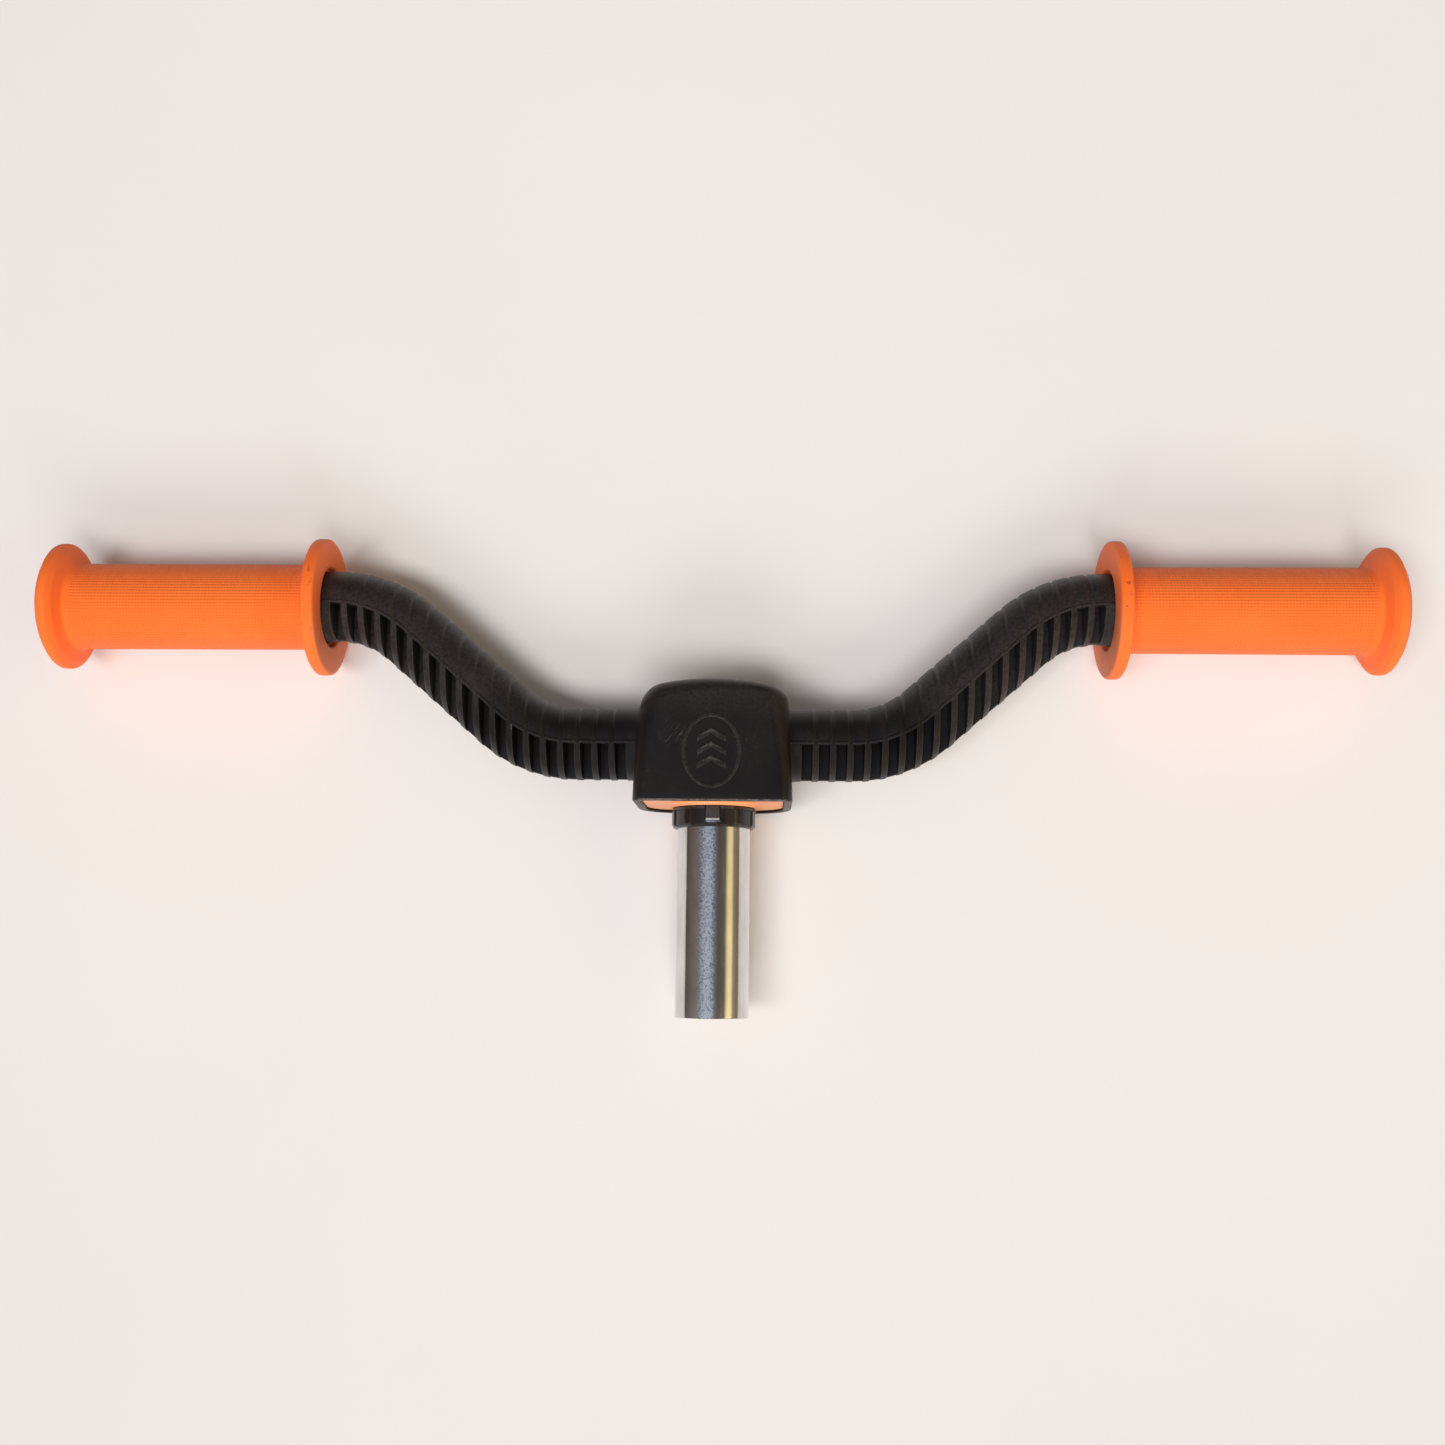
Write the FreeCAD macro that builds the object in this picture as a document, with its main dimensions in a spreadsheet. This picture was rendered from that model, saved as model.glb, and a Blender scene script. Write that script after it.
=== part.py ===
import FreeCAD, Part
import math
import os
import Sketcher
from types import SimpleNamespace
from FreeCAD import Placement, Rotation, Vector

# Handlebar unit of a pogo stick, lying on its back.
# Origin: centre of the stem's open lower end. +X runs along the bar, +Y up the stem to the bar,
# +Z out of the hub's front face. All lengths are in millimetres, angles in degrees.
DIMENSIONS = {
    # stem
    "stem_radius": 14.3,
    "stem_wall": 1.5,
    "stem_length": 108,
    # bar centreline: level at the hub, an S-bend, level again at the grips
    "hub_level": 105.6,
    "grip_level": 161,
    "bend_start": 54,
    "bend_radius": 46,
    "bend_angle": 41,
    "arm_root": 28.5,
    "arm_radius": 14.5,
    "arm_wall": 3,
    "spigot_end": 261.5,
    "spigot_bore": 11,
    "spigot_bore_start": 168,
    # cored lower half of the arms
    "pocket_first": 36.2,
    "pocket_pitch": 6.7,
    "pocket_width": 4.1,
    "pocket_reach": 20,
    "web_thickness": 3,
    "groove_width": 2.8,
    "groove_depth": 0.5,
    "ledge_drop": 1,
    # hub shell
    "hub_bottom": 81.4,
    "hub_height": 48.2,
    "hub_width": 61,
    "hub_front": 26,
    "hub_rear": 27.5,
    "hub_front_corner": 8,
    "hub_rear_corner": 18,
    "hub_taper": 2,
    "hub_wall": 3.2,
    "hub_crown": 6.2,
    "root_flare": 3,
    # screws that hold the insert, and their bosses in the hub
    "screw_across": 20.5,
    "screw_up": 19.6,
    "screw_radius": 1.5,
    "screw_length": 14,
    "screw_head_radius": 2.6,
    "screw_head_height": 2,
    "screw_gap": 0.1,
    "boss_radius": 3.8,
    # orange insert
    "insert_recess": 0.6,
    "insert_plate": 3.5,
    "insert_gap": 0.1,
    "insert_tube_radius": 20.5,
    "insert_top": 111,
    "stop_ring_bore": 16.8,
    # collet round the stem
    "running_gap": 0.06,
    "collet_radius": 17,
    "collet_bottom": 89.3,
    "collet_top": 104.2,
    "collet_slit": 1.2,
    "collet_slit_height": 11,
    # twist collar
    "collar_bottom": 72.6,
    "collar_top": 80.4,
    "collar_radius": 16.6,
    "collar_groove": 0.6,
    "collar_gap": 0.3,
    "collar_bore": 14.4,
    "collar_bevel": 1,
    "neck_radius": 15.94,
    "neck_top": 88.7,
    "neck_bore": 16.02,
    "rib_count": 10,
    "rib_gap_angle": 24,
    # retaining ring and its grooves
    "ring_bottom": 84.7,
    "ring_height": 1,
    "ring_inner": 15.5,
    "ring_outer": 16.9,
    "ring_groove": 15.15,
    "ring_space": 0.35,
    # release tab in the collar's window
    "window_width": 6.2,
    "window_bottom": 74.1,
    "tab_width": 5.4,
    "tab_bottom": 75,
    "tab_top": 80.5,
    "tab_inner": 15.05,
    "tab_outer": 16.2,
    "tab_gap": 0.4,
    # stop ring and bumper
    "stop_ring_radius": 16.4,
    "stop_ring_height": 3.4,
    "bumper_radius": 12,
    "bumper_height": 1.4,
    # grips
    "grip_start": 155.3,
    "grip_bore": 14.55,
    "mouth_radius": 15.9,
    "mouth_depth": 2.2,
    "flange_radius": 27.5,
    "flange_thickness": 5.2,
    "flange_round": 1.6,
    "barrel_radius": 17.1,
    "barrel_flare": 0.2,
    "end_root": 258.4,
    "end_ridge": 259.5,
    "end_ridge_radius": 22.6,
    "end_flange_radius": 25.3,
    "end_widest": 261.6,
    "end_rim": 264.4,
    "end_face": 266.6,
    "end_face_radius": 22,
    "end_cap_radius": 14,
    "end_wall": 6,
    "grip_end": 268,
}
POCKETS = 18


class Term:
    """A length together with the spreadsheet formula that gives it."""

    def __init__(self, value, text):
        self.value = float(value)
        self.text = text

    def __add__(self, other):
        other = as_term(other)
        return Term(self.value + other.value, f"({self.text} + {other.text})")

    def __sub__(self, other):
        other = as_term(other)
        return Term(self.value - other.value, f"({self.text} - {other.text})")

    def __mul__(self, other):
        other = as_term(other)
        return Term(self.value * other.value, f"({self.text} * {other.text})")

    def __truediv__(self, other):
        other = as_term(other)
        return Term(self.value / other.value, f"({self.text} / {other.text})")

    def __neg__(self):
        return Term(-self.value, f"(-1 * {self.text})")


def as_term(item):
    return item if isinstance(item, Term) else Term(item, str(item))


def fill_sheet(document):
    sheet = document.addObject("Spreadsheet::Sheet", "Dimensions")
    terms = {}
    for row, (alias, value) in enumerate(DIMENSIONS.items(), 1):
        sheet.set(f"A{row}", alias)
        sheet.set(f"B{row}", str(value))
        sheet.setAlias(f"B{row}", alias)
        terms[alias] = Term(value, f"Dimensions.{alias}")
    document.recompute()
    return SimpleNamespace(**terms)


doc = FreeCAD.newDocument("handlebar")
D = fill_sheet(doc)
ZERO = Term(0, "0")


# ---------------------------------------------------------------- helpers

def bind(item, **sizes):
    for name, size in sizes.items():
        item.setExpression(name, as_term(size).text)
    return item


def put(item, across=ZERO, up=ZERO, out=ZERO, turn=None):
    """Places an item, with the position bound to the sheet."""
    item.Placement = Placement(Vector(across.value, up.value, out.value), turn or Rotation())
    for letter, size in zip("xyz", (across, up, out)):
        if size.text != "0":
            item.setExpression(f"Placement.Base.{letter}", size.text)
    return item


def make(kind, label, **links):
    item = doc.addObject(kind, label)
    for name, value in links.items():
        setattr(item, name, value)
    return item


def fuse(label, *shapes):
    return make("Part::MultiFuse", label, Shapes=list(shapes))


def cut(label, base, tool):
    return make("Part::Cut", label, Base=base, Tool=tool)


def upright(label, radius, bottom, top, across=ZERO, out=ZERO):
    """Round bar along +Y from bottom to top."""
    bar = bind(make("Part::Cylinder", label), Radius=radius, Height=top - bottom)
    return put(bar, across, bottom, out, Rotation(Vector(1, 0, 0), -90))


def block(label, width, height, depth, across, up, out):
    """Box centred on across, resting on up and out."""
    box = bind(make("Part::Box", label), Length=width, Width=height, Height=depth)
    return put(box, across - width / 2, up, out)


def plane_of(body, role):
    return next(item for item in body.Origin.OriginFeatures if item.Role == role)


def new_sketch(body, label, role):
    sketch = body.newObject("Sketcher::SketchObject", label)
    sketch.AttachmentSupport = [(plane_of(body, role), "")]
    sketch.MapMode = "FlatFace"
    return sketch


def constrain(sketch, kind, *places, size):
    index = sketch.addConstraint(Sketcher.Constraint(kind, *places, size.value))
    sketch.setExpression(f"Constraints[{index}]", size.text)


def pin_corner(sketch, line, across, up):
    """Ties the start of a line to its distances from the sketch's origin."""
    for kind, axis, size in (("DistanceX", -2, across), ("DistanceY", -1, up)):
        if size.value == 0:
            sketch.addConstraint(Sketcher.Constraint("PointOnObject", line, 1, axis))
        else:
            constrain(sketch, kind, -1, 1, line, 1, size=size)


def draw_outline(sketch, corners):
    """Closed outline of straight lines through the corners."""
    points = [Vector(across.value, up.value, 0) for across, up in corners]
    for index, point in enumerate(points):
        sketch.addGeometry(Part.LineSegment(point, points[(index + 1) % len(points)]), False)
    for index in range(len(points)):
        before = (index - 1) % len(points)
        sketch.addConstraint(Sketcher.Constraint("Coincident", before, 2, index, 1))
    for index, (across, up) in enumerate(corners):
        pin_corner(sketch, index, as_term(across), as_term(up))


def turned_body(label, corners, axis="V_Axis"):
    """Round piece: an outline turned about the stem's axis (V) or the bar's axis (H)."""
    body = doc.addObject("PartDesign::Body", label)
    sketch = new_sketch(body, label + "_outline", "XY_Plane")
    draw_outline(sketch, corners)
    spin = body.newObject("PartDesign::Revolution", label + "_turned")
    spin.Profile = sketch
    spin.ReferenceAxis = (sketch, [axis])
    spin.Angle = 360
    doc.recompute()
    return body


def rounded(body, radius, wanted, label):
    """PartDesign fillet on every edge of the body's tip that the test wants."""
    tip = body.Tip
    names = [f"Edge{n}" for n, edge in enumerate(tip.Shape.Edges, 1) if wanted(edge)]
    item = body.newObject("PartDesign::Fillet", label)
    item.Base = (tip, names)
    bind(item, Radius=radius)
    doc.recompute()
    return item


# ---------------------------------------------------------------- hub shell

def rounded_rectangle(sketch, half_width, front, rear, front_corner, rear_corner):
    """Rectangle with its sides at half_width, its front at +front and its rear at -rear.

    The front corners are tight and the rear corners are wide."""
    w, f, r = half_width.value, front.value, rear.value
    c, b = front_corner.value, rear_corner.value
    corners = [(w - c, f - c, c), (c - w, f - c, c), (b - w, b - r, b), (w - b, b - r, b)]
    quarter = math.pi / 2
    for index, (x, y, radius) in enumerate(corners):
        circle = Part.Circle(Vector(x, y, 0), Vector(0, 0, 1), radius)
        sketch.addGeometry(Part.ArcOfCircle(circle, index * quarter, (index + 1) * quarter), False)
    for index in range(4):
        start = sketch.getPoint(index, 2)
        sketch.addGeometry(Part.LineSegment(start, sketch.getPoint((index + 1) % 4, 1)), False)
    for index in range(4):
        sketch.addConstraint(Sketcher.Constraint("Tangent", index, 2, index + 4, 1))
        sketch.addConstraint(Sketcher.Constraint("Tangent", index + 4, 2, (index + 1) % 4, 1))
    for index in (4, 6):
        sketch.addConstraint(Sketcher.Constraint("Horizontal", index))
    for index in (5, 7):
        sketch.addConstraint(Sketcher.Constraint("Vertical", index))
    for index in (0, 2):
        sketch.addConstraint(Sketcher.Constraint("Equal", index, index + 1))
    constrain(sketch, "Radius", 0, size=front_corner)
    constrain(sketch, "Radius", 2, size=rear_corner)
    constrain(sketch, "DistanceX", -1, 1, 7, 1, size=half_width)
    constrain(sketch, "DistanceX", -1, 1, 5, 1, size=-half_width)
    constrain(sketch, "DistanceY", -1, 1, 4, 1, size=front)
    constrain(sketch, "DistanceY", -1, 1, 6, 1, size=-rear)


def hub_block(label, inset, height, floor, crown):
    """Tapered block with rounded corners and a rounded crown, standing on the floor level."""
    body = doc.addObject("PartDesign::Body", label)
    sketch = new_sketch(body, label + "_plan", "XZ_Plane")
    rounded_rectangle(sketch, D.hub_width / 2 - inset, D.hub_front - inset, D.hub_rear - inset,
                      D.hub_front_corner - inset, D.hub_rear_corner - inset)
    pad = body.newObject("PartDesign::Pad", label + "_pad")
    pad.Profile = sketch
    pad.Reversed = True
    bind(pad, Length=height, TaperAngle=-D.hub_taper)
    doc.recompute()
    if crown:
        rounded(body, crown, lambda edge: is_level(edge, height.value), label + "_crown")
    put(body, up=floor)
    return body


def is_level(edge, level):
    box = edge.BoundBox
    return abs(box.YMin - level) < 0.01 and abs(box.YMax - level) < 0.01


# ---------------------------------------------------------------- arms

def arm_path(label, root, end):
    """Centreline of the right arm: level, bend up, slope, bend back, level."""
    slope = math.radians(D.bend_angle.value)
    radius = D.bend_radius.value
    rise = D.grip_level.value - D.hub_level.value
    run = (rise - 2 * radius * (1 - math.cos(slope))) / math.sin(slope)
    low = Vector(D.bend_start.value, D.hub_level.value, 0)
    first_centre = low + Vector(0, radius, 0)
    first_end = low + Vector(radius * math.sin(slope), radius * (1 - math.cos(slope)), 0)
    second_start = first_end + Vector(run * math.cos(slope), run * math.sin(slope), 0)
    high = second_start + Vector(radius * math.sin(slope), radius * (1 - math.cos(slope)), 0)
    second_centre = high - Vector(0, radius, 0)
    up = Vector(0, 0, 1)
    quarter = math.pi / 2
    first = Part.ArcOfCircle(Part.Circle(first_centre, up, radius), -quarter, slope - quarter)
    second = Part.ArcOfCircle(Part.Circle(second_centre, up, radius), quarter, quarter + slope)
    sketch = doc.addObject("Sketcher::SketchObject", label)
    sketch.addGeometry(Part.LineSegment(Vector(root.value, low.y, 0), low), False)
    sketch.addGeometry(first, False)
    sketch.addGeometry(Part.LineSegment(first_end, second_start), False)
    sketch.addGeometry(second, False)
    sketch.addGeometry(Part.LineSegment(high, Vector(end.value, high.y, 0)), False)
    for joint in ((0, 2, 1, 1), (1, 2, 2, 1), (2, 2, 3, 2), (3, 1, 4, 1)):
        sketch.addConstraint(Sketcher.Constraint("Tangent", *joint))
    sketch.addConstraint(Sketcher.Constraint("Horizontal", 0))
    sketch.addConstraint(Sketcher.Constraint("Horizontal", 4))
    constrain(sketch, "Radius", 1, size=D.bend_radius)
    constrain(sketch, "Radius", 3, size=D.bend_radius)
    constrain(sketch, "DistanceX", -1, 1, 0, 1, size=root)
    constrain(sketch, "DistanceY", -1, 1, 0, 1, size=D.hub_level)
    constrain(sketch, "DistanceX", -1, 1, 0, 2, size=D.bend_start)
    constrain(sketch, "DistanceX", -1, 1, 4, 2, size=end)
    constrain(sketch, "DistanceY", -1, 1, 4, 2, size=D.grip_level)
    doc.recompute()
    return sketch


def across_bar(label, across, up):
    """Sketch in the plane square to the bar's level part: its x runs to +Z, its y up the stem."""
    sketch = doc.addObject("Sketcher::SketchObject", label)
    facing = Rotation(Vector(0, 0, 1), Vector(0, 1, 0), Vector(-1, 0, 0), "XYZ")
    return put(sketch, across, up, turn=facing)


def ring_section(label, radius, root):
    sketch = across_bar(label, root, D.hub_level)
    circle = Part.Circle(Vector(0, 0, 0), Vector(0, 0, 1), radius.value)
    sketch.addGeometry(circle, False)
    sketch.addConstraint(Sketcher.Constraint("Coincident", 0, 3, -1, 1))
    constrain(sketch, "Radius", 0, size=radius)
    return sketch


def lower_section(label, root):
    """Rectangle that covers everything below the ledge of the arm."""
    sketch = across_bar(label, root, D.hub_level)
    side, top, bottom = D.pocket_reach, -D.ledge_drop, -D.pocket_reach
    draw_outline(sketch, [(-side, bottom), (side, bottom), (side, top), (-side, top)])
    return sketch


def sweep(label, section, path):
    edges = [f"Edge{n + 1}" for n in range(len(path.Shape.Edges))]
    return make("Part::Sweep", label, Sections=[section], Spine=(path, edges), Solid=True)


def comb(label, count, first, width):
    """Upright slices across the arm, one pocket pitch apart."""
    height = D.grip_level - D.hub_level + D.pocket_reach * 2
    slices = [block(f"{label}_{number + 1}", width, height, D.pocket_reach * 2,
                    first + D.pocket_pitch * number, D.hub_level - D.pocket_reach, -D.pocket_reach)
              for number in range(count)]
    return make("Part::Compound", label, Links=slices)


def grooves(path):
    """Shallow ring grooves, one over each rib between two pockets."""
    floor = ring_section("groove_section", D.arm_radius - D.groove_depth, D.arm_root)
    outer = ring_section("groove_outer", D.arm_radius + D.groove_depth, D.arm_root)
    skin = cut("groove_skin", sweep("groove_cover", outer, path), sweep("groove_floor", floor, path))
    first = D.pocket_first + D.pocket_pitch / 2
    return make("Part::Common", "grooves", Base=skin,
                Tool=comb("groove_slices", POCKETS - 1, first, D.groove_width))


def right_arm():
    path = arm_path("bar_centreline", D.arm_root, D.spigot_end)
    short_path = arm_path("cored_centreline", D.arm_root, D.grip_start)
    outside = sweep("bar_outside", ring_section("bar_section", D.arm_radius, D.arm_root), path)
    inner = ring_section("core_section", D.arm_radius - D.arm_wall, D.arm_root)
    core = sweep("core", inner, short_path)
    below = sweep("below_ledge", lower_section("ledge_section", D.arm_root), short_path)
    hollow = fuse("hollow", core, below)
    slots = comb("pocket_slots", POCKETS, D.pocket_first, D.pocket_width)
    pockets = make("Part::Common", "pockets", Base=hollow, Tool=slots)
    web_height = D.grip_level - D.hub_level + D.pocket_reach * 2
    web = block("web", D.grip_start * 2, web_height, D.web_thickness, D.grip_start,
                D.hub_level - D.pocket_reach, -D.web_thickness / 2)
    side_pockets = cut("side_pockets", pockets, web)
    bore = bind(make("Part::Cylinder", "spigot_hollow"), Radius=D.spigot_bore,
                Height=D.spigot_end - D.spigot_bore_start)
    put(bore, D.spigot_bore_start, D.grip_level, turn=Rotation(Vector(0, 1, 0), 90))
    ribbed = cut("ribbed_bar", cut("cored_bar", outside, side_pockets), grooves(short_path))
    return cut("right_arm", ribbed, bore)


def root_cone():
    """Flare where the arm runs into the hub's side."""
    cone = bind(make("Part::Cone", "root_flare"), Radius1=D.arm_radius + D.root_flare,
                Radius2=D.arm_radius, Height=D.root_flare * 1.5)
    side = D.hub_width / 2 - D.root_flare / 2
    return put(cone, side, D.hub_level, turn=Rotation(Vector(0, 1, 0), 90))


def mirrored(label, source):
    return make("Part::Mirroring", label, Source=source, Normal=Vector(1, 0, 0))


def insert_floor():
    return D.hub_bottom + D.insert_recess


def screw_seats():
    """Bosses for the two screws, and the holes through them."""
    roof = D.hub_bottom + D.hub_height - D.hub_wall / 2
    bosses = []
    holes = []
    for side in (-1, 1):
        place = (D.screw_across * side, D.screw_up)
        bosses.append(upright(f"boss_{len(bosses) + 1}", D.boss_radius,
                              insert_floor() + D.insert_plate, roof, *place))
        holes.append(upright(f"boss_hole_{len(holes) + 1}", D.screw_radius,
                             insert_floor(), insert_floor() + D.screw_length + 2, *place))
    return bosses, holes


def handlebar_moulding():
    shell = hub_block("hub_outside", ZERO, D.hub_height, D.hub_bottom, D.hub_crown)
    hollow = hub_block("hub_inside", D.hub_wall, D.hub_height - D.hub_wall, D.hub_bottom,
                       D.hub_crown - D.hub_wall)
    arm = fuse("right_side", right_arm(), root_cone())
    arms = fuse("hub_and_arms", shell, arm, mirrored("left_side", arm))
    bosses, holes = screw_seats()
    opened = cut("opened_hub", arms, hollow)
    bossed = fuse("bossed_hub", opened, *bosses)
    return cut("handlebar_moulding", bossed, fuse("boss_holes", *holes))


# ---------------------------------------------------------------- grips

def right_grip():
    last = D.grip_end - D.end_wall
    outline = [
        (D.grip_start, D.mouth_radius),
        (D.grip_start, D.flange_radius),
        (D.grip_start + D.flange_thickness, D.flange_radius),
        (D.grip_start + D.flange_thickness, D.barrel_radius),
        (D.end_root, D.barrel_radius + D.barrel_flare),
        (D.end_ridge, D.end_ridge_radius),
        (D.end_widest, D.end_flange_radius),
        (D.end_rim, D.end_flange_radius),
        (D.end_face, D.end_face_radius),
        (D.grip_end, D.end_cap_radius),
        (D.grip_end, ZERO),
        (last, ZERO),
        (last, D.grip_bore),
        (D.grip_start + D.mouth_depth, D.grip_bore),
    ]
    grip = turned_body("right_grip", outline, "H_Axis")
    rim = D.flange_radius.value
    rounded(grip, D.flange_round, lambda edge: is_ring(edge, rim), "flange_rim")
    put(grip, up=D.grip_level)
    return grip


def is_ring(edge, radius):
    return isinstance(edge.Curve, Part.Circle) and abs(edge.Curve.Radius - radius) < 0.01


# ---------------------------------------------------------------- insert and its fittings

def hub_insert():
    """Plate that closes the hub, with a boss over the collar and a tube inside for the collet."""
    plate = hub_block("insert_block", D.hub_wall + D.insert_gap, D.insert_recess + D.insert_plate,
                      D.hub_bottom, None)
    recess = block("insert_recess", D.hub_width, D.insert_recess, D.hub_width, ZERO,
                   D.hub_bottom, -D.hub_width / 2)
    boss_bottom = D.collar_top + D.collar_gap
    outline = [
        (D.neck_bore, boss_bottom),
        (D.collar_radius, boss_bottom),
        (D.collar_radius, insert_floor()),
        (D.insert_tube_radius, insert_floor()),
        (D.insert_tube_radius, D.insert_top),
        (D.stop_ring_bore, D.insert_top),
        (D.stop_ring_bore, D.collet_top),
        (D.collet_radius, D.collet_top),
        (D.collet_radius, D.collet_bottom),
        (D.neck_bore, D.collet_bottom),
    ]
    sleeve = turned_body("insert_sleeve", outline)
    eye = upright("insert_eye", D.insert_tube_radius - 1, D.hub_bottom, D.collet_bottom)
    groove = ring_band("insert_groove", D.neck_bore - 1, D.ring_outer + D.insert_gap,
                       D.ring_bottom - D.insert_gap, D.ring_height + D.insert_gap * 2)
    flat = cut("insert_plate", cut("insert_flat", plate, recess), eye)
    holes = []
    for number, side in ((1, -1), (2, 1)):
        place = (D.screw_across * side, D.screw_up)
        holes.append(upright(f"insert_hole_{number}", D.screw_radius + D.screw_gap, D.hub_bottom,
                             D.collet_bottom, *place))
        holes.append(upright(f"head_seat_{number}", D.screw_head_radius + D.screw_gap,
                             D.hub_bottom, insert_floor() + D.screw_head_height, *place))
    body = cut("insert_grooved", fuse("insert_whole", flat, sleeve), groove)
    return cut("hub_insert", body, fuse("insert_holes", *holes))


def ring_band(label, inner, outer, bottom, height):
    """Ring with a square section round the stem's axis."""
    top = bottom + height
    return turned_body(label, [(inner, bottom), (outer, bottom), (outer, top), (inner, top)])


def clamp_collet():
    """Nylon collet with four slits that let it close on the stem."""
    inner = D.stem_radius + D.running_gap
    ring = ring_band("collet_ring", inner, D.collet_radius, D.collet_bottom,
                     D.collet_top - D.collet_bottom)
    slits = []
    for number in range(2):
        slit = bind(make("Part::Box", f"collet_slit_{number + 1}"), Length=D.collet_slit,
                    Width=D.collet_slit_height, Height=D.collet_radius * 3)
        turn = Rotation(Vector(0, 1, 0), 45 + 90 * number)
        corner = turn.multVec(Vector(-D.collet_slit.value / 2, 0, -D.collet_radius.value * 1.5))
        put(slit, Term(corner.x, str(corner.x)), D.collet_bottom, Term(corner.z, str(corner.z)), turn)
        slits.append(slit)
    return cut("clamp_collet", ring, fuse("collet_slits", *slits))


def collar_retaining_ring():
    ring = ring_band("retaining_band", D.ring_inner, D.ring_outer, D.ring_bottom, D.ring_height)
    gap = block("retaining_gap", D.ring_outer / 4, D.ring_height * 3, D.ring_outer * 2,
                ZERO, D.ring_bottom - D.ring_height, -D.ring_outer * 2)
    return cut("collar_retaining_ring", ring, gap)


def insert_screws():
    """Two self-tapping screws, sunk in the insert and driven up into the hub's bosses."""
    screws = []
    for number, side in ((1, -1), (2, 1)):
        place = (D.screw_across * side, D.screw_up)
        seat = insert_floor() + D.screw_head_height
        head = upright(f"screw_head_{number}", D.screw_head_radius, insert_floor(), seat, *place)
        shank = upright(f"screw_shank_{number}", D.screw_radius, seat - D.screw_head_height / 2,
                        insert_floor() + D.screw_length, *place)
        screws.append(fuse(f"screw_{number}", head, shank))
    return make("Part::Compound", "insert_screws", Links=screws)


# ---------------------------------------------------------------- collar, tab, stem

def lock_collar():
    """Ribbed twist collar with a neck that runs in the insert, and a window for the tab."""
    outline = [
        (D.collar_bore, D.collar_bottom),
        (D.collar_radius - D.collar_bevel, D.collar_bottom),
        (D.collar_radius, D.collar_bottom + D.collar_bevel),
        (D.collar_radius, D.collar_top),
        (D.neck_radius, D.collar_top),
        (D.neck_radius, D.ring_bottom - D.ring_space),
        (D.ring_groove, D.ring_bottom - D.ring_space),
        (D.ring_groove, D.ring_bottom + D.ring_height + D.ring_space),
        (D.neck_radius, D.ring_bottom + D.ring_height + D.ring_space),
        (D.neck_radius, D.neck_top),
        (D.collar_bore, D.neck_top),
    ]
    ring = turned_body("collar_ring", outline)
    window = block("collar_window", D.window_width, D.neck_top, D.pocket_reach,
                   ZERO, D.window_bottom, ZERO)
    return cut("lock_collar", cut("collar_windowed", ring, window), rib_gaps())


def rib_gaps():
    """Shallow hollows between the ribs, round the collar's outside."""
    count = int(D.rib_count.value)
    step = 360 / count
    depth_radius = D.collar_radius - D.collar_groove
    gaps = []
    for number in range(count):
        gap = bind(make("Part::Cylinder", f"rib_gap_{number + 1}"), Radius=D.pocket_reach,
                   Height=D.collar_top - D.collar_bottom - D.collar_bevel, Angle=D.rib_gap_angle)
        middle = Rotation(Vector(0, 1, 0), step * (number + 0.5) - 90)
        lying = Rotation(Vector(1, 0, 0), -90)
        centred = Rotation(Vector(0, 0, 1), -D.rib_gap_angle.value / 2)
        put(gap, up=D.collar_bottom + D.collar_bevel, turn=middle * lying * centred)
        gaps.append(gap)
    core = upright("rib_core", depth_radius, ZERO, D.hub_bottom)
    return cut("rib_gaps", fuse("rib_wedges", *gaps), core)


def release_tab():
    """Curved tab that fills the collar's window."""
    ring = ring_band("tab_ring", D.tab_inner, D.tab_outer, D.tab_bottom, D.tab_top - D.tab_bottom)
    keep = block("tab_keep", D.tab_width, D.collar_top, D.pocket_reach, ZERO,
                 D.tab_bottom - D.tab_gap, ZERO)
    return make("Part::Common", "release_tab", Base=ring, Tool=keep)


def stem_tube():
    inner = D.stem_radius - D.stem_wall
    return ring_band("stem_tube", inner, D.stem_radius, ZERO, D.stem_length)


def stem_stop_ring():
    """Ring on the top end of the stem, too wide for the collet."""
    low = D.stem_length + D.ring_height - D.stop_ring_height
    return ring_band("stem_stop_ring", D.stem_radius, D.stop_ring_radius, low, D.stop_ring_height)


def top_bumper():
    roof = D.hub_bottom + D.hub_height - D.hub_wall
    return upright("top_bumper", D.bumper_radius, roof - D.bumper_height, roof)


# ---------------------------------------------------------------- build, check, export

def check_document():
    for item in doc.Objects:
        faults = {"Invalid", "Error"} & set(item.State)
        if faults:
            raise RuntimeError(f"{item.Label}: {faults}")


def export(pieces):
    for piece in pieces:
        shape = piece.Shape
        if shape.isNull() or not shape.isValid():
            raise RuntimeError(f"{piece.Label}: bad shape")
    os.makedirs("parts", exist_ok=True)
    for piece in pieces:
        piece.Shape.exportStep(f"parts/{piece.Label}.step")
        box = piece.Shape.BoundBox
        print(f"{piece.Label}: {len(piece.Shape.Solids)} solid, {piece.Shape.Volume:.1f} mm3, "
              f"x {box.XMin:.1f}..{box.XMax:.1f} y {box.YMin:.1f}..{box.YMax:.1f} "
              f"z {box.ZMin:.1f}..{box.ZMax:.1f}")


grip = right_grip()
PIECES = [
    handlebar_moulding(),
    grip,
    mirrored("left_grip", grip),
    hub_insert(),
    clamp_collet(),
    collar_retaining_ring(),
    insert_screws(),
    lock_collar(),
    release_tab(),
    stem_tube(),
    stem_stop_ring(),
    top_bumper(),
]
doc.recompute()
check_document()
export(PIECES)
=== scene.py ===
import math

import bmesh
import bpy
from mathutils import Matrix, Vector


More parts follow.
